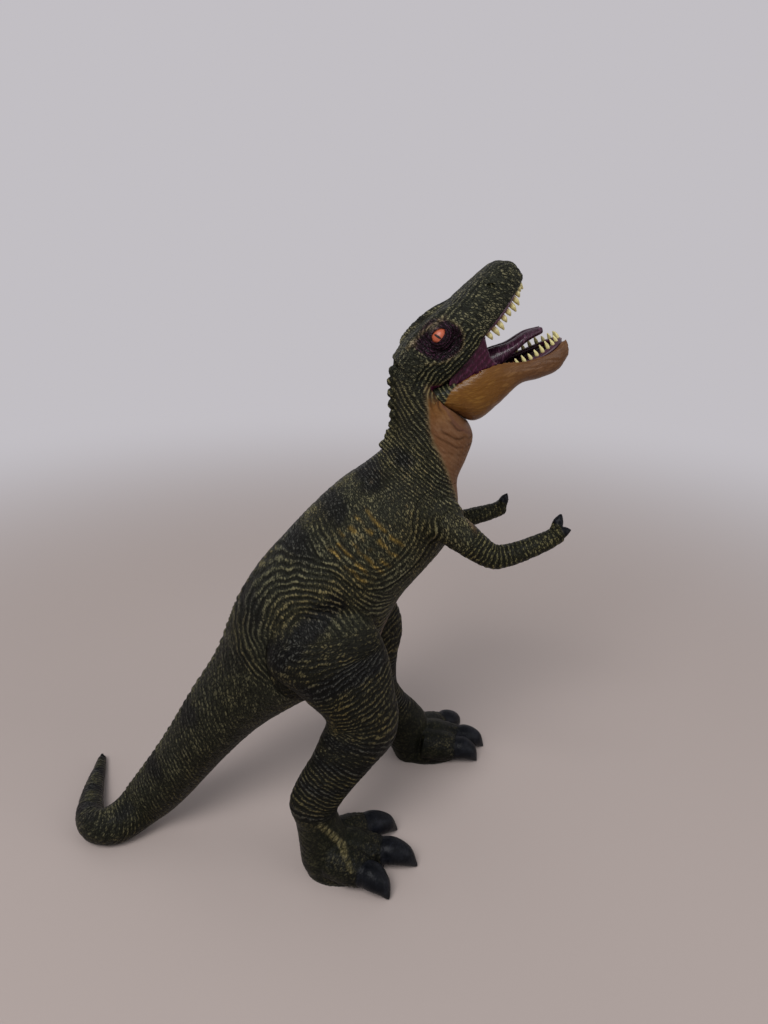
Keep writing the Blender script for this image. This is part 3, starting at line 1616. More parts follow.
@dataclass
class Limb:
    """A moulding that plugs into the trunk's side and turns there."""

    hand: str
    side: int
    rows: tuple
    joint: Array
    disc: float
    stub: tuple
    swing: tuple

    def out(self, x: float, outward: float, z: float) -> Array:
        """A point from its distances to the joint, the second one outwards from its face."""
        return mirrored(self.joint, self.side) + np.array([x, self.side * outward, z])

    def build(self) -> Piece:
        """Makes one moulding of the forms and frees it from the trunk over its swing."""
        core = Trunk.plain("core")
        Shop.carve(core, Trunk.disc(self.joint, self.side, self.disc + 7, 0), Cut.KEEP_COMMON)
        limb = f"{self.hand}_{self.kind}"
        piece = Shop.join([*self.forms(), core], f"{limb}_hide")
        Shop.remesh(piece, self.voxel, 4)
        press(piece, self.look(Shop.points(piece)))
        around = Trunk.plain("around", RELIEF_ROOM, 200, 72)
        Shop.cut(around, Trunk.disc(self.joint, self.side, self.disc, 0))
        low, high = self.swing
        for degrees in (0, low, low / 2, high / 2, high):
            passed = Shop.turned(Shop.copy(around), self.out(0, 0, 0), -degrees)
            Shop.cut(piece, passed)
        Shop.drop(around)
        inner = sorted((self.side * self.joint[1], -self.side * 200.0))
        Shop.cut(piece, Shop.block("inner", (-400, inner[0], -60), (300, inner[1], 500)))
        stub = Trunk.stub(self.out(0, 0, 0), -Y_AXIS * self.side, self.stub, 0)
        Shop.carve(piece, stub, Cut.ADD)
        Shop.cut(piece, Trunk.ground())
        piece = Shop.skinned(piece, self.look)
        return Shop.finished(piece, f"{limb}_hide", f"{limb}_body", limb, "hide")


@dataclass
class Leg(Limb):
    """A leg with its foot and claws."""

    toes: tuple = ()
    kind = "leg"
    voxel = 1.0
    rings = ((113.5, 4.2), (96.0, 3.0), (76.0, 2.4), (53.0, 3.2))
    hip_zone = (178, 200)
    edge_zone = (100, 190, 10)
    knee_zone = (98, 172, 14)
    shin_zone = (58, 98, 9)
    foot_zone = (60, 44)
    ankle_zone = (16, 40, 5)
    toe_zone = (29, 24)
    knee_pitch = 3.6
    shin_pitch = 3.1
    ankle_pitch = 4.4
    pebble = 3.3

    def __post_init__(self) -> None:
        """Makes the spine that the pattern follows."""
        self.outline = Outline(
            np.array([self.out(x, out, z) for x, z, _, _, out, _ in self.rows]),
            np.array([self.out(x, out, z) for _, _, x, z, out, _ in self.rows]),
            np.array([half for *_, half in self.rows], float),
        )
        self.spine = Spine(self.outline)

    def ground(self, flat: Array, z: float) -> Array:
        """A point of the foot from its distances forward and outward, and its height."""
        point = self.out(flat[0], flat[1], 0)
        return np.array([point[0], point[1], z])

    def forms(self) -> list:
        """The leg's flesh, instep, toes and claws."""
        forms = [Shop.drawn("flesh", self.outline, 72, 130)]
        middle = np.array(self.toes[1], float)
        at = middle[:2] + (middle[2:4] - middle[:2]) * 0.2
        forms.append(Shop.ball("instep", self.ground(at, INSTEP_LIFT), INSTEP, 48))
        for row in self.toes:
            root, claw, tip = np.array(row, float).reshape(3, 2)
            flesh = [
                self.ground(root, TOE_RADIUS + TOE_DROP),
                self.ground(root + (claw - root) * 0.6, TOE_RADIUS + TOE_DROP / 2),
                self.ground(root + (claw - root) * 1.1, TOE_RADIUS),
            ]
            nail = [
                self.ground(claw - (tip - claw) * 0.25, TOE_RADIUS * 1.1),
                self.ground(claw + (tip - claw) * 0.2, TOE_RADIUS * 1.1),
                self.ground(claw + (tip - claw) * 0.65, TOE_RADIUS * 0.8),
                self.ground(tip, CLAW_TIP_HEIGHT),
            ]
            toe = Outline.tube(flesh, [TOE_RADIUS * 1.15, TOE_RADIUS * 1.1, TOE_RADIUS * 0.75])
            horn = Outline.tube(
                nail, [CLAW_RADIUS * 0.8, CLAW_RADIUS, CLAW_RADIUS * 0.75, CLAW_RADIUS / 10]
            )
            forms.append(Shop.drawn("toe", toe, 32, 32, ends=(2.0, 3.0)))
            forms.append(Shop.drawn("nail", horn, 32, 40, ends=(2.0, 0.5)))
        return forms

    def claw_share(self, points: Array) -> tuple[Array, Array]:
        """How much points belong to a claw, and to a toe."""
        plan = points[:, :2] * np.array([1, self.side]) - np.array([self.joint[0], self.joint[1]])
        claws = np.zeros(len(points))
        toes = np.zeros(len(points))
        for row in self.toes:
            root, claw, tip = np.array(row, float).reshape(3, 2)
            for share, start, end in ((claws, claw, tip), (toes, root, claw)):
                length = np.linalg.norm(end - start)
                way = (end - start) / length
                away = plan - start
                run = away @ way
                off = np.abs(way[0] * away[:, 1] - way[1] * away[:, 0])
                late = step(-2.0, -0.5, run) if share is claws else step(-4, 6, run)
                np.maximum(share, late * step(13.5, 11.5, off), out=share)
        low = step(*self.toe_zone, points[:, 2])
        return claws * low, toes * low

    def look(self, points: Array) -> Look:
        """The leg's relief and paint."""
        x, _, z = points.T
        along, front, out, angle = self.spine.locate(points)
        out = out * -self.side
        small = warp(points, 8.0, 1)
        wide = warp(points, 24.0, 0)
        look = Look.plain(points, *Hue.leg, 0.50)
        slant = along + 0.45 * front
        look.flow = np.stack([slant, front, out], 1)
        claws, toes = self.claw_share(points)
        foot = step(*self.foot_zone, z)
        wrinkle = creases(slant, front, out, 2.9, 8.0, 2)
        height = Hide.relief_depth * (wrinkle - 0.6) * (1 - 0.85 * foot)
        knee = window(*self.knee_zone, z + 0.2 * wide) * step(2.6, 1.6, angle)
        ring_line = along / self.knee_pitch + 0.3 * small + 0.07 * out
        height += Hide.relief_depth * (folds(ring_line, 1.0, 0.5) - 0.8) * knee
        broken = 0.4 + 0.6 * step(-0.3, 0.4, warp(points, 11, 5))
        look.draw(
            0, ring_line,
            (0.45 + 0.55 * knee) * broken * (1 - foot) * step(*self.shin_zone[:2], z),
        )
        shin = window(*self.shin_zone, z)
        shin_line = along / self.shin_pitch + 0.3 * small
        height += 0.30 * (folds(shin_line, 1.0, 0.5) - 0.8) * shin
        look.draw(1, shin_line, shin)
        pebbles = NOISES[7].pebbles(points / self.pebble)
        height += 0.55 * (pebbles - 0.6) * toes * (1 - claws)
        ankle = folds(z + 1.2 * small + 0.35 * x, self.ankle_pitch) * window(*self.ankle_zone, z)
        ankle = ankle * (1 - toes) * step(1.0, 2.0, angle)
        height += 0.5 * (ankle - 0.4) * (ankle > 0)
        height *= 1 - claws
        height -= 0.7 * claws * (1 - claws) * 4
        look.coat(step(0.0, 0.7, wide) * 0.5, *Hue.leg_mottle)
        speckle = step(0.1, 0.6, warp(points, 3.0, 6)) * step(0.9, 2.0, np.abs(out) / 8)
        look.coat(speckle * 0.25 * (1 - foot), *Hue.leg_speckle)
        HIDE.bands(look, points, small)
        self._stripes(look, points, small)
        edge = bell(angle, 0.16) * window(*self.edge_zone, z)
        look.coat(0.6 * edge, *Hue.leg_edge)
        look.coat(foot * 0.9, *Hue.foot, 0.40, 0.6)
        look.coat(toes * 0.9, *Hue.toe, 0.38)
        look.height = height + self._plates(look, points)
        look.blend(HIDE.look(points), step(*self.hip_zone, z - 0.12 * (x - self.joint[0])))
        look.coat(step(2.2, 0.6, z), *Hue.sole, 0.6)
        look.coat(claws, *Hue.claw, 0.34, 0.3)
        return look

    def _stripes(self, look: Look, points: Array, small: Array) -> None:
        """Paints the dark rings over the knee, shin and ankle."""
        x, _, z = points.T
        tilt = z + (x - self.joint[0]) * 0.18
        for level, width in self.rings:
            mask = bell(np.maximum(np.abs(tilt - level + 3.5 * small) - 1.0, 0), width)
            look.coat(0.85 * mask, *Hue.black, 0.42)

    def _plates(self, look: Look, points: Array) -> Array:
        """Paints the row of scales on the foot's outer side, and gives their relief."""
        shifted = points[:, [0, 2]].copy()
        if self.side > 0:
            shifted[:, 0] -= Plate.left_ahead
        gap, share, past = beside(shifted, Plate.line)
        length = np.linalg.norm(np.diff(np.array(Plate.line), axis=0), axis=1).sum()
        run = share * length / Plate.pitch
        beat = np.abs(np.sin(np.pi * run)) ** 0.45
        outer = step(2, 8, self.side * points[:, 1] - self.joint[1] - 22)
        held = step(Plate.half, Plate.half - 1.4, np.abs(gap)) * step(2.0, 0.0, past) * outer
        look.coat(held * step(0.25, 0.7, beat), *Hue.plate, 0.45)
        return held * (1.25 * beat - 0.5)


@dataclass
class Arm(Limb):
    """An arm with its two fingers."""

    kind = "arm"
    voxel = 0.85
    elbow_zone = (30, 52, 8)
    pitch = 3.2

    def __post_init__(self) -> None:
        """Makes the spine that the pattern follows."""
        places = [self.out(x, out, z) for x, z, out, _ in self.rows]
        self.outline = Outline.tube(places, [row[3] for row in self.rows])
        self.spine = Spine(self.outline)
        hand_x, hand_z, hand_out, _ = self.rows[-1]
        self.fingers = []
        for x, z, out in FINGERS:
            root = self.out(hand_x - FINGER_RADIUS / 2, hand_out + out / 2, hand_z)
            tip = self.out(hand_x + x, hand_out + out, hand_z + z)
            self.fingers.append((root, root + (tip - root) * 0.6 + Z_AXIS * FINGER_RADIUS / 5, tip))

    def forms(self) -> list:
        """The arm's flesh, the shoulder's dome and the fingers."""
        radius = SHOULDER_DISC - 3
        forms = [
            Shop.drawn("flesh", self.outline, 40, 80, ends=(2.0, 2.5)),
            Shop.ball("dome", self.out(1, 8, -2), (radius, 11, radius), 48),
        ]
        for points in self.fingers:
            finger = Outline.tube(points, [FINGER_RADIUS, FINGER_RADIUS * 0.75, FINGER_TIP])
            forms.append(Shop.drawn("finger", finger, 24, 24, ends=(1.0, 0.4)))
        return forms

    def look(self, points: Array) -> Look:
        """The arm's relief and paint."""
        along, up, out, _ = self.spine.locate(points)
        small = warp(points, 7.0, 1)
        wide = warp(points, 20.0, 0)
        look = Look.plain(points, *Hue.arm, 0.46)
        look.flow = np.stack([along, up, out], 1)
        wrinkle = creases(along + 0.3 * up, up, out, 2.8, 7.0, 2)
        height = Hide.relief_depth * (wrinkle - 0.6)
        elbow = window(*self.elbow_zone, along)
        arm_line = along / self.pitch + 0.3 * small
        height += 0.40 * (folds(arm_line, 1.0) - 0.65) * elbow
        look.draw(0, arm_line, 0.35 + 0.5 * elbow)
        look.coat(step(0.0, 0.7, wide) * 0.4, *Hue.arm_mottle)
        look.height = height
        near = away_from(points, self.joint)
        look.blend(
            HIDE.look(points),
            step(25, 18, near) * step(34, 26, np.abs(points[:, 1]) - self.joint[1]),
        )
        claws = np.zeros(len(points))
        for root, _, tip in self.fingers:
            way = unit(tip - root)
            run = (points - root) @ way / np.linalg.norm(tip - root)
            near = np.linalg.norm(points - root - np.outer((points - root) @ way, way), axis=1)
            np.maximum(claws, step(0.42, 0.52, run) * step(7, 5, near), out=claws)
        look.height *= 1 - 0.8 * step(0.0, 1.0, claws)
        look.coat(claws, *Hue.claw, 0.34, 0.3)
        return look


def spaced(rows: Sequence[Sequence[float]], shares: Array) -> Array:
    """Points at shares of the length of a gum line.

    Args:
        rows: The gum line's rows from the corner of the mouth to its middle.
        shares: Shares of its length, from the right corner to the left one.

    Returns:
        One point a row.
    """
    right = [(x, -half, z) for x, half, z in rows]
    left = [(x, half, z) for x, half, z in reversed(rows[:-1])]
    fine = catmull(np.array(right + left, float), np.linspace(0, 1, 400))
    run = np.concatenate([[0.0], np.cumsum(np.linalg.norm(np.diff(fine, axis=0), axis=1))])
    run /= run[-1]
    return np.stack([np.interp(shares, run, fine[:, axis]) for axis in range(3)], 1)


def offset(edge: Sequence[tuple[float, float]], by: float) -> list[tuple[float, float]]:
    """An outline moved outwards.

    Args:
        edge: Its corners, in order.
        by: How far.

    Returns:
        The moved corners.
    """
    corners = np.array(edge, float)
    before = unit(corners - np.roll(corners, 1, axis=0))
    after = unit(np.roll(corners, -1, axis=0) - corners)
    area = np.sum(
        corners[:, 0] * np.roll(corners[:, 1], -1) - corners[:, 1] * np.roll(corners[:, 0], -1)
    )
    sign = 1 if area > 0 else -1
    normals = [np.stack([ways[:, 1], -ways[:, 0]], 1) * sign for ways in (before, after)]
    mitre = normals[0] + normals[1]
    moved = corners + mitre / np.maximum(np.sum(mitre * normals[0], axis=1, keepdims=True), 0.3) * by
    return [tuple(corner) for corner in moved]


class Mouth:
    """Forms that the head and the jaw share."""

    skull = Outline.side_view(SKULL, SQUARENESS)
    jaw = Outline.side_view(LOWER_JAW, SQUARENESS)
    tongue = Outline.side_view(TONGUE)

    @staticmethod
    def swept(piece: Piece, degrees: float, steps: int = 6) -> Piece:
        """The space that a form passes as it turns about the hinge. Positive closes the jaw."""
        whole = Shop.copy(piece)
        for index in range(1, steps + 1):
            Shop.carve(whole, Shop.turned(Shop.copy(piece), JAW, degrees * index / steps), Cut.ADD)
        Shop.drop(piece)
        return whole

    @classmethod
    def jaw_path(cls) -> Piece:
        """The room for the lower jaw."""
        return cls.swept(Shop.drawn("jaw_room", cls.jaw, 56, 72, CLEARANCE + 0.55), JAW_SWING)

    @classmethod
    def tongue_path(cls) -> Piece:
        """The room for the tongue."""
        return cls.swept(Shop.drawn("tongue_room", cls.tongue, 40, 48, CLEARANCE + 0.3), JAW_SWING)

    @staticmethod
    def across(name: str, half: float, radius: float) -> Piece:
        """A round bar along the hinge."""
        return Shop.rod(name, JAW - Y_AXIS * half, JAW + Y_AXIS * half, radius, 64)

    @classmethod
    def palate_hollow(cls, grow: float) -> Piece:
        """The hollow of the upper jaw, or with a negative growth what lies in it."""
        rows = cls.skull.band(
            MOUTH_FROM, -1, lambda h: -MOUTH_OVER, lambda h: min(PALATE_DEPTH, h - SNOUT_ROOF), LIP_WALL
        )
        return Shop.drawn("palate_hollow", rows, 72, 72, grow)

    @classmethod
    def jaw_hollow(cls, grow: float) -> Piece:
        """The hollow of the lower jaw, or with a negative growth what lies in it."""
        rows = cls.jaw.band(
            JAW_MOUTH_FROM, None, lambda h: JAW_FLOOR, lambda h: h + MOUTH_OVER, JAW_WALL
        )
        return Shop.drawn("jaw_hollow", rows, 72, 72, grow)

    @staticmethod
    def strip(rows: Sequence, grow: float) -> Piece:
        """A strip of gum."""
        points = spaced(rows, np.linspace(0, 1, 29))
        outline = Outline(
            points + Z_AXIS * (GUM_RADIUS + grow),
            points - Z_AXIS * (GUM_RADIUS + grow),
            np.full(len(points), GUM_RADIUS + grow),
        )
        return Shop.drawn("strip", outline, 24, 120, ends=(grow, grow))

    @classmethod
    def channel(cls, rows: Sequence, way: Array) -> Piece:
        """The channel that a strip is laid into, open along its teeth."""
        whole = cls.strip(rows, GUM_ROOM)
        for index in (1, 2):
            shifted = cls.strip(rows, GUM_ROOM)
            Shop.move(shifted, Shop.points(shifted) + way * GUM_RADIUS * index)
            Shop.carve(whole, shifted, Cut.ADD)
        return whole

    @staticmethod
    def web(side: int, grow: float) -> Piece:
        """One cheek's web, or with growth its slot."""
        ends = sorted((side * (WEB_INNER - grow), side * (WEB_INNER + WEB_THICKNESS + grow)))
        return Shop.plate("web", offset(CHEEK_EDGE, grow), *ends)

    @classmethod
    def web_path(cls, side: int) -> Piece:
        """The room for a web in what moves with the jaw."""
        return cls.swept(cls.web(side, CLEARANCE), -JAW_SWING)


class Head:
    """The neck and the skull with the upper jaw."""

    voxel = 0.75
    brow = ((12, 371), (20, 380), (29, 386.5), (36, 391))
    rim = ((37.5, 389), (43, 385.5), (45.5, 379), (44.5, 371.5), (38.5, 366.5), (31, 363.5), (22, 363))
    cheek = ((58, 375), (56.5, 372), (50, 365), (42, 356), (35, 348), (31, 341))
    ridge = ((13, 12, 372), (21, 12.5, 379.5), (29, 12.5, 386.5), (37, 12, 392.5), (45, 11, 398))
    ridge_radii = (2.4, 3.6, 3.6, 3.0, 1.8)
    nostril = ((64, 17.8, 409.5), (2.9, 2.4, 1.5))
    horn = (15.5, 374)
    dish = (EYE + (-0.8, 10.4, -1.5), (16.5, 8, 13))
    socket = (30.5, 376.5)
    socket_tilt = 12.0
    socket_long = (15.5, 16.5)  # ahead of its middle and behind it
    socket_high = 12.5
    cheek_pitch = 2.9
    socket_pitch = 2.3
    almond = (
        (-5.0, -1.8), (-3.6, 1.6), (-0.4, 2.9), (3.2, 2.5),
        (5.4, 0.8), (3.4, -1.6), (0.2, -2.9), (-3.2, -3.4),
    )
    almond_tilt = 32.0
    gaze = (EYE[0] - 2.5, EYE[2] + 2.7)

    def __init__(self) -> None:
        """Makes the spine of the skull."""
        self.spine = Spine(Mouth.skull)

    def form(self) -> Piece:
        """The head's plain form with the mouth, the sockets and the lids."""
        neck = Trunk.plain("neck")
        face = NECK + NECK_AXIS * (SEAM / 2 - 6)
        Shop.cut(neck, Shop.rod("below", face - NECK_AXIS * 400, face, 300, 32))
        forms = [neck, Shop.drawn("skull", Mouth.skull, 96, 120)]
        for side in (-1, 1):
            ridge = Outline.tube([mirrored(at, side) for at in self.ridge], self.ridge_radii, 12)
            forms.append(Shop.drawn("ridge", ridge, 24, 32, ends=(1.0, 1.0)))
        piece = Shop.join([*forms, *self._scutes()], "head")
        Shop.remesh(piece, self.voxel, 5)
        for side in (-1, 1):
            Shop.cut(piece, Shop.ball("dish", mirrored(self.dish[0], side), self.dish[1], 64))
        Shop.cut(piece, Mouth.palate_hollow(0.15))
        Shop.cut(piece, Mouth.jaw_path())
        lids = [Shop.ball("lid", mirrored(EYE, side), [EYE_RADIUS + 1.0] * 3, 40) for side in (-1, 1)]
        piece = Shop.join([piece, *lids], "head")
        Shop.remesh(piece, self.voxel, 3)
        return piece

    @staticmethod
    def _scutes() -> list:
        """Horny points down the back of the neck."""
        line = np.array([(row[0], 0, row[1]) for row in TRUNK], float)
        forms = []
        for share in np.linspace(0, 0.215, 10):
            at, after = catmull(line, np.array([share, share + 0.004]))
            outwards = unit(np.cross(after - at, Y_AXIS))
            forms.append(Shop.ball("scute", at - outwards * 1.4, (3.6, 3.0, 3.6), 20))
        return forms

    def inside(self, points: Array) -> tuple[Array, Array]:
        """How much nearer the skull than the neck points are, and how deep, in millimetres."""
        depths = []
        for spine, power in ((self.spine, SQUARENESS), (HIDE.spine, 2.0)):
            along, up, side, _ = spine.locate(points)
            ratio, size = spine.reach(along, up, side, power)
            outside = np.maximum((ratio - 1) * size, -along)
            depths.append(np.maximum(outside, along - spine.lengths[-1]))
        return depths[1] - depths[0], -np.minimum(depths[0], depths[1])

    def look(self, points: Array) -> Look:
        """The head's relief and paint."""
        x, y, z = points.T
        look = HIDE.look(points)
        nearness, depth = self.inside(points)
        skull = step(-2.5, 3.0, nearness)
        along, up, side, angle = self.spine.locate(points)
        small = warp(points, 6.0, 1)
        tick = creases(up + 0.5 * along, along, side, 2.3, 6.0, 2)
        height = Hide.relief_depth * (tick - 0.6)
        look.coat(skull, *Hue.head, 0.50)
        look.depths *= 1 - skull[:, None]
        high = angle < 1.12
        streak = 0.3 * small + np.where(
            high, angle * 15 / 2.9 + 0.04 * along, along / 3.6 + 0.25 * up / 3.6
        )
        shown = np.where(
            high, 0.75 * step(1.1, 0.8, angle),
            0.55 * step(1.14, 1.35, angle) * step(2.3, 1.9, angle),
        )
        shown *= skull * step(-0.5, 0.4, warp(points, 9, 5))
        look.draw(
            2, np.where(skull > 0.5, streak, look.lines[:, 2]),
            np.where(skull > 0.5, shown, look.depths[:, 2]),
        )
        height += 0.35 * (folds(streak, 1.0, 0.6) - 0.7) * shown
        look.flow = np.where(skull[:, None] > 0.5, np.stack([along + 0.3 * up, up, side], 1), look.flow)
        outer = step(9, 14, np.abs(y))
        cheek_gap, _, cheek_past = beside_curve(points, self.cheek, 20)
        cheek = window(-0.5, 17, 3, -cheek_gap) * step(9, 0, cheek_past) * outer
        cheek_line = cheek_gap / self.cheek_pitch + 0.3 * small + 0.3 * warp(points, 14, 4)
        height = height * (1 - 0.6 * cheek) + 0.8 * (folds(cheek_line, 1.0, 0.6) - 0.7) * cheek
        look.draw(
            0, np.where(cheek > 0.01, cheek_line, look.lines[:, 0]),
            np.maximum(look.depths[:, 0], cheek),
        )
        look.coat(0.7 * cheek, *Hue.cheek)
        eye_away = away_from(points, self.gaze)
        dish = self.socket_share(points) * outer
        ring_line = eye_away / self.socket_pitch + 0.25 * small
        height = (
            height * (1 - dish)
            + 0.6 * (folds(ring_line, 1.0) - 0.6) * dish * step(6.5, 8.5, eye_away)
        )
        look.draw(
            1, np.where(dish > 0.01, ring_line, look.lines[:, 1]),
            np.maximum(look.depths[:, 1], 0.6 * dish),
        )
        rim_gap, _, rim_past = beside_curve(points, self.rim, 20)
        rim = bell(rim_gap, 0.9) * step(3, 0, rim_past) * outer
        height += 0.7 * rim
        brow_gap, _, brow_past = beside_curve(points, self.brow)
        brow = bell(brow_gap, 1.1) * step(4, 0, brow_past) * step(7, 10, np.abs(y))
        height += 0.8 * brow
        hide = 1 - step(0.8, 2.0, depth) * (1 - dish)
        look.height = (look.height * (1 - skull) + height * skull) * hide
        look.coat(dish, *Hue.socket, 0.24)
        look.coat(0.8 * brow, *Hue.brow, 0.42)
        look.coat(0.75 * rim, *Hue.rim, 0.40)
        horn = bell(away_from(points, self.horn), 1.8) * outer
        look.coat(horn, *Hue.horn)
        band = (
            step(-0.5, 0.8, cheek_gap) * outer
            * step(32, 36, x) * step(378, 373, z) * step(332, 337, z)
        )
        look.coat(band, *Hue.purple, 0.25)
        inner = step(1.2, 2.4, depth) * (1 - dish) * step(20, 27, x)
        look.coat(inner, *Hue.purple, 0.3)
        look.coat(inner * step(346, 336, z), *Hue.throat, 0.4, 0.15)
        look.depths *= 1 - inner[:, None]
        return look

    @classmethod
    def socket_share(cls, points: Array) -> Array:
        """How much points belong to the dark dish round the eye, which has a corner behind."""
        tilt = math.radians(cls.socket_tilt)
        x, z = points[:, 0] - cls.socket[0], points[:, 2] - cls.socket[1]
        long = x * math.cos(tilt) + z * math.sin(tilt)
        short = -x * math.sin(tilt) + z * math.cos(tilt)
        ahead = np.sqrt(np.clip(1 - (long / cls.socket_long[0]) ** 2, 0, 1))
        behind = np.clip(1 - (np.abs(long) / cls.socket_long[1]) ** 1.5, 0, 1)
        limit = cls.socket_high * np.where(long > 0, ahead, behind) + 0.3
        return step(1.08, 0.92, np.abs(short) / limit) * step(17.5, 16.0, np.abs(long))

    def build(self) -> Piece:
        """Makes the piece."""
        piece = self.form()
        press(piece, self.look(Shop.points(piece)))
        below = NECK + NECK_AXIS * SEAM / 2
        Shop.cut(piece, Shop.rod("below", below - NECK_AXIS * 60, below, 120, 32))
        Shop.cut(piece, Mouth.tongue_path())
        Shop.cut(piece, Mouth.channel(UPPER_GUM, UPPER_TOOTH_WAY))
        tilt = math.radians(self.almond_tilt)
        axes = np.array([(math.cos(tilt), math.sin(tilt)), (-math.sin(tilt), math.cos(tilt))])
        opening = np.array(self.gaze) + smooth_line([*self.almond, self.almond[0]], 40)[:-1] @ axes
        for side in (-1, 1):
            Shop.cut(piece, Shop.ball("eye_room", mirrored(EYE, side), [EYE_RADIUS + 0.25] * 3, 64))
            ends = sorted((side * (EYE[1] + 2.5), side * (EYE[1] + 20)))
            Shop.cut(piece, Shop.plate("opening", opening, *ends))
            at, radii = self.nostril
            Shop.cut(piece, Shop.ball("nostril", mirrored(at, side), radii, 24))
            Shop.cut(piece, Mouth.web(side, CLEARANCE))
        Shop.carve(piece, Mouth.across("knuckle", KNUCKLE_HALF, KNUCKLE_RADIUS), Cut.ADD)
        Shop.cut(piece, Mouth.across("pin_room", PIN_HALF + CLEARANCE, PIN_RADIUS + CLEARANCE))
        Shop.carve(piece, Trunk.stub(NECK, -NECK_AXIS, Trunk.neck_stub, 0), Cut.ADD)
        piece = Shop.skinned(piece, self.look)
        return Shop.finished(piece, "head_hide", "head", "head_skin", "hide")


class Jaw:
    """The lower jaw, whose rear corner has the cheek's green paint and folds."""

    front_zone = (30, 75)
    corner = (48, 352)
    corner_pitch = 3.1
    inner_zone = (0.86, 0.95)
    cheek_edge = ((30, 318), (33.5, 331), (36.5, 340), (41, 346.5), (47, 353), (54, 362))

    def __init__(self) -> None:
        """Makes the spine that the pattern follows."""
        self.spine = Spine(Mouth.jaw)

    def look(self, points: Array) -> Look:
        """The jaw's relief and paint."""
        along, up, side, angle = self.spine.locate(points)
        small = warp(points, 6.0, 1)
        look = Look.plain(points, *Hue.jaw, 0.30)
        look.fine *= 0.5
        look.flow = np.stack([up, along, side], 1)
        ratio, _ = self.spine.reach(along, up, side, SQUARENESS)
        end = self.spine.lengths[-1]
        outer = step(*self.inner_zone, ratio)
        outer = np.maximum.reduce([outer, step(1.5, 1.8, angle), step(end - 3.0, end - 2.0, along)])
        long_lines = creases(up + 0.25 * along, along, side, 2.8, 22.0, 3)
        height = 0.20 * (long_lines - 0.6)
        height *= outer
        ahead = step(*self.front_zone, along + 3 * small)
        look.coat(ahead, *Hue.jaw_front, 0.34)
        look.coat(0.8 * step(1.8, 2.6, angle + 0.2 * small), *Hue.chin)
        look.coat(1 - outer, *Hue.purple, 0.25)
        corner = away_from(points, self.corner) + 0.6 * small
        folded = step(-0.6, 0.6, beside_curve(points, self.cheek_edge)[0] + 0.8 * small) * outer
        look.coat(folded, *Hue.jaw_corner, 0.75, 1.0)
        look.draw(0, corner / self.corner_pitch, folded)
        height += 0.5 * (folds(corner, self.corner_pitch, 0.6) - 0.7) * folded
        look.height = height
        return look

    def build(self) -> Piece:
        """Makes the piece."""
        piece = Shop.drawn("jaw", Mouth.jaw, 96, 120)
        Shop.cut(piece, Mouth.jaw_hollow(0.1))
        Shop.remesh(piece, 0.65, 3)
        press(piece, self.look(Shop.points(piece)))
        Shop.cut(
            piece,
            Mouth.across("knuckle_room", KNUCKLE_HALF + CLEARANCE, KNUCKLE_RADIUS + CLEARANCE),
            Mouth.across("pin_room", PIN_HALF + CLEARANCE, PIN_RADIUS + CLEARANCE),
            Mouth.channel(LOWER_GUM, LOWER_TOOTH_WAY),
            *(Mouth.web_path(side) for side in (-1, 1)),
        )
        piece = Shop.skinned(piece, self.look)
        return Shop.finished(piece, "jaw_hide", "jaw", "lower_jaw", "jaw_hide")


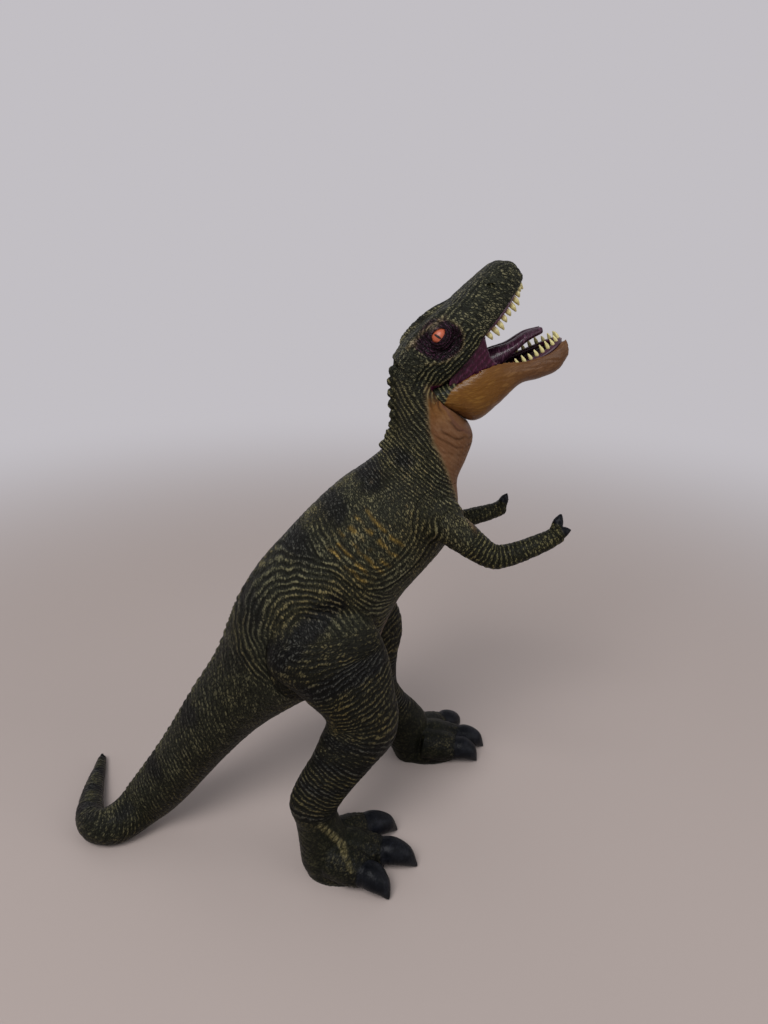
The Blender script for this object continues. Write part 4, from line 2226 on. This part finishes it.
class Lining:
    """The mouth's linings and the tongue."""

    @staticmethod
    def look(points: Array) -> Look:
        """Wet-looking purple with soft folds across."""
        x, y, z = points.T
        small = warp(points, 5.0, 1)
        look = Look.plain(points, *Hue.purple, 0.22)
        run = 0.6 * x + 0.8 * z
        look.height = 0.30 * (folds(run + 0.9 * small, 4.2) - 0.6) * step(20, 15, np.abs(y))
        web = step(16.5, 17.4, np.abs(y))
        fan = folds(away_from(points, JAW) + small, 5.2)
        look.height = look.height * (1 - web) + 0.35 * (fan - 0.6) * web
        around = beside_curve(points, Head.cheek, 20)[0]
        look.draw(0, around / 3.4 + 0.3 * small, web)
        look.draw(1, run / 3.4 + 0.3 * small, 0.5 * (1 - web))
        return look

    @classmethod
    def palate(cls) -> Piece:
        """The roof of the mouth with the cheeks' webs."""
        piece = Mouth.palate_hollow(-CLEARANCE)
        Shop.carve(piece, Shop.drawn("skull_room", Mouth.skull, 72, 90, -1.0), Cut.KEEP_COMMON)
        Shop.cut(piece, Mouth.palate_hollow(-CLEARANCE - PALATE_SKIN))
        for side in (-1, 1):
            Shop.carve(piece, Mouth.web(side, 0), Cut.ADD)
        return cls._lining(
            piece, "mouth_roof", "head", "palate", UPPER_GUM, UPPER_TOOTH_WAY, [Mouth.tongue_path()]
        )

    @classmethod
    def floor(cls) -> Piece:
        """The floor of the mouth."""
        piece = Mouth.jaw_hollow(-CLEARANCE)
        room = Mouth.jaw.band(
            0, None, lambda h: h * MOUTH_FLOOR_SHARE, lambda h: h + 2 * MOUTH_OVER, -MOUTH_OVER
        )
        squarer = Outline(room.tops, room.bottoms, room.halves, 6.0)
        Shop.cut(piece, Shop.drawn("mouth_room", squarer, 48, 72, 1.0))
        Shop.cut(piece, Mouth.across("knuckle_room", KNUCKLE_HALF + 1, KNUCKLE_RADIUS + 0.6))
        rooms = [Shop.drawn("tongue_room", Mouth.tongue, 40, 48, CLEARANCE + 0.1)]
        rooms += [Mouth.web_path(side) for side in (-1, 1)]
        return cls._lining(
            piece, "mouth_lining_floor", "jaw", "mouth_floor", LOWER_GUM, LOWER_TOOTH_WAY, rooms
        )

    @classmethod
    def _lining(
        cls,
        piece: Piece,
        name: str,
        body: str,
        node: str,
        gum: Sequence,
        way: Array,
        rooms: list,
    ) -> Piece:
        """Softens a lining, cuts its rooms and paints it."""
        Shop.remesh(piece, 0.5, 2)
        press(piece, cls.look(Shop.points(piece)))
        Shop.cut(piece, *rooms, Mouth.channel(gum, way))
        piece = Shop.skinned(piece, cls.look)
        return Shop.finished(piece, name, body, node, "mouth_lining")

    @classmethod
    def tongue(cls) -> Piece:
        """The tongue, with a groove along its middle."""
        piece = Shop.drawn("tongue_form", Mouth.tongue, 96, 120)
        Shop.remesh(piece, 0.45, 2)
        points = Shop.points(piece)
        spine = Spine(Mouth.tongue)
        along, _, side, angle = spine.locate(points)
        look = Look.plain(points, *Hue.tongue, 0.20)
        groove = -1.1 * bell(side, 1.6) * step(1.2, 0.6, angle) * window(8, 52, 8, along)
        look.height = groove + 0.22 * (warp(points, 3.0, 2) * 0.5) * step(2.2, 1.4, angle)
        press(piece, look)
        Shop.cut(piece, Mouth.across("knuckle_room", KNUCKLE_HALF + 1, KNUCKLE_RADIUS + CLEARANCE))
        points = Shop.points(piece)
        look = Look.plain(points, *Hue.tongue, 0.20)
        look.height = 0.3 * warp(points, 3.0, 2)
        paint_on(piece, look)
        return Shop.finished(piece, "mouth_tongue", "jaw", "tongue", "mouth_lining")


@dataclass(frozen=True)
class Teeth:
    """A strip of gum with its teeth, whose lengths swell and shrink in waves along the row."""

    name: str
    node: str
    body: str
    rows: tuple
    way: Array
    count: int
    length: float
    radius: float
    seed: int
    waves: int = 5
    spread: tuple[float, float] = (0.93, 1.04)
    lean: float = 0.12

    def build(self) -> Piece:
        """Makes the piece."""
        draw = np.random.default_rng(self.seed)
        strip = Mouth.strip(self.rows, 0)
        points = Shop.points(strip)
        look = Look.plain(points, *Hue.purple, 0.22)
        look.height = 0.4 * warp(points, 3.0, 2)
        paint_on(strip, look)
        parts = [strip]
        for index in range(self.count):
            share = (index + 0.5) / self.count
            wave = math.sin(share * math.pi * self.waves) ** 2
            reach = self.length * (0.75 + 0.25 * wave) * draw.uniform(*self.spread)
            root = spaced(self.rows, np.array([share]))[0] + self.way * self.radius * 0.4
            lean = np.array([-1, -np.sign(root[1]), 0]) * self.length * self.lean
            middle = root + self.way * reach / 2 + lean * 0.15
            tip = root + self.way * reach + lean
            outline = Outline.tube(
                [root, middle, tip], [self.radius, self.radius * 0.9, self.radius * 0.32], 7
            )
            tooth = Shop.drawn("tooth", outline, 20, 24, ends=(0.5, 0.3))
            points = Shop.points(tooth)
            run = (points - root) @ self.way / reach
            look = Look.plain(points, *Hue.ivory, 0.30)
            look.coat(step(0.42, 0.12, run), *Hue.ivory_root)
            look.height = 0.15 * warp(points, 2.0, 2)
            paint_on(tooth, look)
            parts.append(tooth)
        piece = Shop.join(parts, self.name)
        return Shop.finished(piece, self.name, self.body, self.node, "teeth")


@dataclass(frozen=True)
class Eye:
    """A glossy eye with a slit."""

    hand: str
    side: int
    iris: Colour = (0.44, 0.098, 0.048)
    ring: Colour = (0.22, 0.030, 0.012)
    slit: Colour = (0.004, 0.003, 0.003)
    fleck: Colour = (0.72, 0.22, 0.09)
    tilt: float = math.radians(-34.0)
    slit_middle: tuple[float, float] = (0.4, -1.1)
    slit_size: tuple[float, float] = (2.3, 0.78)

    def build(self) -> Piece:
        """Makes the piece."""
        eye = mirrored(EYE, self.side)
        piece = Shop.ball("eye", eye, [EYE_RADIUS] * 3, 160)
        points = Shop.points(piece)
        away = points - eye - np.array([Head.gaze[0] - EYE[0], 0, Head.gaze[1] - EYE[2]])
        long = away[:, 0] * math.cos(self.tilt) + away[:, 2] * math.sin(self.tilt)
        short = -away[:, 0] * math.sin(self.tilt) + away[:, 2] * math.cos(self.tilt)
        look = Look.plain(points, self.iris, self.iris, 0.34)
        radius = np.hypot(long, short)
        look.coat(step(3.6, 5.4, radius), self.ring, self.ring)
        streak = warp(np.stack([np.arctan2(short, long) * 14, radius * 0.6, radius * 0], 1), 1.6, 3)
        look.coat(0.35 * step(0.0, 0.7, streak), self.fleck, self.fleck)
        offset_long, offset_short = (
            (value - middle) / size
            for value, middle, size in zip((long, short), self.slit_middle, self.slit_size)
        )
        slit = np.sqrt(offset_long**2 + offset_short**2)
        look.coat(step(1.15, 0.9, slit), self.slit, self.slit)
        paint_on(piece, look)
        name = f"{self.hand}_eye_ball"
        return Shop.finished(piece, name, "head", f"{self.hand}_eye", "eyes")


class Stage:
    """Floor, light and camera."""

    eye = np.array([-71.6, -502.7, 445.0])
    heading = 8.0
    pitch = 20.5
    lens_share = 769.0 / 1024.0
    ground: Colour = (0.485, 0.405, 0.375)
    backdrop: Colour = (0.54, 0.52, 0.55)
    fade = (0.35, 1.5)  # metres from the middle, where the floor starts to fade and where it has gone
    sky = (0.92, 0.95, 1.0, 1)
    sky_strength = 0.34

    def build(self) -> None:
        """Makes the stage."""
        self._floor()
        self._world()
        self._lamps()
        self._camera()

    def _floor(self) -> None:
        """A pale floor that fades to the backdrop."""
        Shop.clear()
        bpy.ops.mesh.primitive_plane_add(size=14.0, location=(0, 0, 0))
        floor = bpy.context.object
        floor.name = "floor"
        material, tree, shader = new_material("pale_floor")
        shader.inputs["Base Color"].default_value = (*self.ground, 1)
        shader.inputs["Roughness"].default_value = 0.85
        coords = add_node(tree, "TexCoord", {}).outputs["Object"]
        away = add_node(tree, "VectorMath", {0: coords}, operation="LENGTH").outputs["Value"]
        wires = {0: away, 1: self.fade[0], 2: self.fade[1]}
        fade = add_node(tree, "MapRange", wires, interpolation_type="SMOOTHERSTEP").outputs[0]
        path = add_node(tree, "LightPath", {}).outputs["Is Camera Ray"]
        seen = add_node(tree, "Math", {0: path, 1: fade}, operation="MULTIPLY").outputs[0]
        far = add_node(tree, "Emission", {"Color": (*self.backdrop, 1)})
        mix = add_node(tree, "MixShader", {0: seen, 1: shader.outputs[0], 2: far.outputs[0]})
        tree.links.new(mix.outputs[0], tree.nodes["Material Output"].inputs["Surface"])
        floor.data.materials.append(material)

    def _world(self) -> None:
        """Soft light from all around, and a pale background."""
        world = bpy.data.worlds.new("studio")
        bpy.context.scene.world = world
        world.use_nodes = True
        tree = world.node_tree
        tree.nodes.clear()
        soft = add_node(tree, "Background", {"Color": self.sky, "Strength": self.sky_strength})
        pale = add_node(tree, "Background", {"Color": (*self.backdrop, 1), "Strength": 1.0})
        path = add_node(tree, "LightPath", {}).outputs
        shown = path["Is Camera Ray"]
        for label in ("Is Glossy Ray", "Is Transmission Ray"):
            shown = add_node(tree, "Math", {0: shown, 1: path[label]}, operation="MAXIMUM").outputs[0]
        mix = add_node(tree, "MixShader", {0: shown, 1: soft.outputs[0], 2: pale.outputs[0]})
        add_node(tree, "OutputWorld", {"Surface": mix.outputs[0]})

    @staticmethod
    def _lamps() -> None:
        """Three soft lamps."""
        target = Vector((0.0, 0.0, 0.2))
        lamps = (
            ("key", (-0.7, -1.4, 2.1), 1.2, 38.0),
            ("fill", (1.8, -1.1, 1.0), 1.4, 10.0),
            ("back", (-0.9, 1.7, 1.6), 1.2, 2.5),
        )
        for name, spot, size, power in lamps:
            lamp = bpy.data.lights.new(name, "AREA")
            lamp.size = size
            lamp.energy = power
            Stage._hang(name, lamp, Vector(spot), target - Vector(spot))

    def _camera(self) -> None:
        """The camera at the photograph's place."""
        camera = bpy.data.cameras.new("camera")
        camera.sensor_width = 36.0
        camera.lens = 36.0 * self.lens_share
        camera.clip_end = 50.0
        turn, drop = math.radians(90 - self.heading), math.radians(self.pitch)
        way = Vector(
            (math.cos(turn) * math.cos(drop), math.sin(turn) * math.cos(drop), -math.sin(drop))
        )
        bpy.context.scene.camera = self._hang("camera", camera, Vector(place(self.eye)), way)

    @staticmethod
    def _hang(name: str, data: bpy.types.ID, spot: Vector, way: Vector) -> Piece:
        """Puts a lamp or a camera at a spot, looking along a way."""
        holder = bpy.data.objects.new(name, data)
        bpy.context.collection.objects.link(holder)
        holder.location = spot
        holder.rotation_euler = way.to_track_quat("-Z", "Y").to_euler()
        return holder


def main() -> None:
    """Builds the toy."""
    logging.basicConfig(level=logging.INFO)
    bpy.context.scene.view_settings.view_transform = "Standard"
    Stage().build()
    finishes = Finishes()
    skin = finishes.vinyl(Vinyl("painted_hide"))
    jaw_skin = finishes.vinyl(Vinyl(
        "jaw_vinyl", pitch=1.6, stretch=4.5, grain=0.16, depth=0.30, coat=0.12, shine=0.16
    ))
    lining = finishes.vinyl(Vinyl(
        "mouth_vinyl", pitch=1.6, stretch=4.0, grain=0.14, depth=0.3, coat=0.14, shine=0.18,
        brushing=0.8,
    ))
    ivory = finishes.vinyl(Vinyl(
        "tooth_ivory", pitch=1.2, stretch=3.0, grain=0.05, depth=0.10, coat=0.2, shine=0.4,
        brushing=0.5,
    ))
    glass = finishes.vinyl(Vinyl(
        "eye_gloss", pitch=1.2, stretch=3.0, grain=0.0, depth=0.0, coat=0.15, shine=0.3,
        brushing=0.0,
    ))
    hips = {"joint": HIP, "disc": HIP_DISC, "stub": Trunk.hip_stub, "swing": HIP_SWING}
    shoulders = {
        "joint": SHOULDER, "disc": SHOULDER_DISC, "stub": Trunk.shoulder_stub,
        "swing": SHOULDER_SWING,
    }
    upper = Teeth(
        "upper_tooth_row", "upper_teeth", "head", UPPER_GUM, UPPER_TOOTH_WAY,
        count=20, length=8.6, radius=1.85, seed=5,
    )
    lower = Teeth(
        "lower_tooth_row", "lower_teeth", "jaw", LOWER_GUM, LOWER_TOOTH_WAY,
        count=20, length=6.2, radius=1.4, seed=6,
    )
    made = (
        (skin, Trunk().build),
        (skin, Leg("right", -1, RIGHT_LEG, **hips, toes=RIGHT_TOES).build),
        (skin, Leg("left", 1, LEFT_LEG, **hips, toes=LEFT_TOES).build),
        (skin, Arm("right", -1, RIGHT_ARM, **shoulders).build),
        (skin, Arm("left", 1, LEFT_ARM, **shoulders).build),
        (skin, Head().build),
        (jaw_skin, Jaw().build),
        (lining, Lining.palate),
        (lining, Lining.floor),
        (lining, Lining.tongue),
        (ivory, upper.build),
        (ivory, lower.build),
        (glass, Eye("right", -1).build),
        (glass, Eye("left", 1).build),
    )
    for material, build in made:
        piece = build()
        piece.data.materials.clear()
        piece.data.materials.append(material)
    steel, _, shader = new_material("pin_steel")
    for label, value in (("Base Color", (0.56, 0.57, 0.58, 1)), ("Metallic", 1.0), ("Roughness", 0.32)):
        shader.inputs[label].default_value = value
    for piece in bpy.data.objects:
        if piece.name.startswith("jaw_pin") and piece.type == "MESH":
            piece.data.materials.clear()
            piece.data.materials.append(steel)


if __name__ == "__main__":
    main()
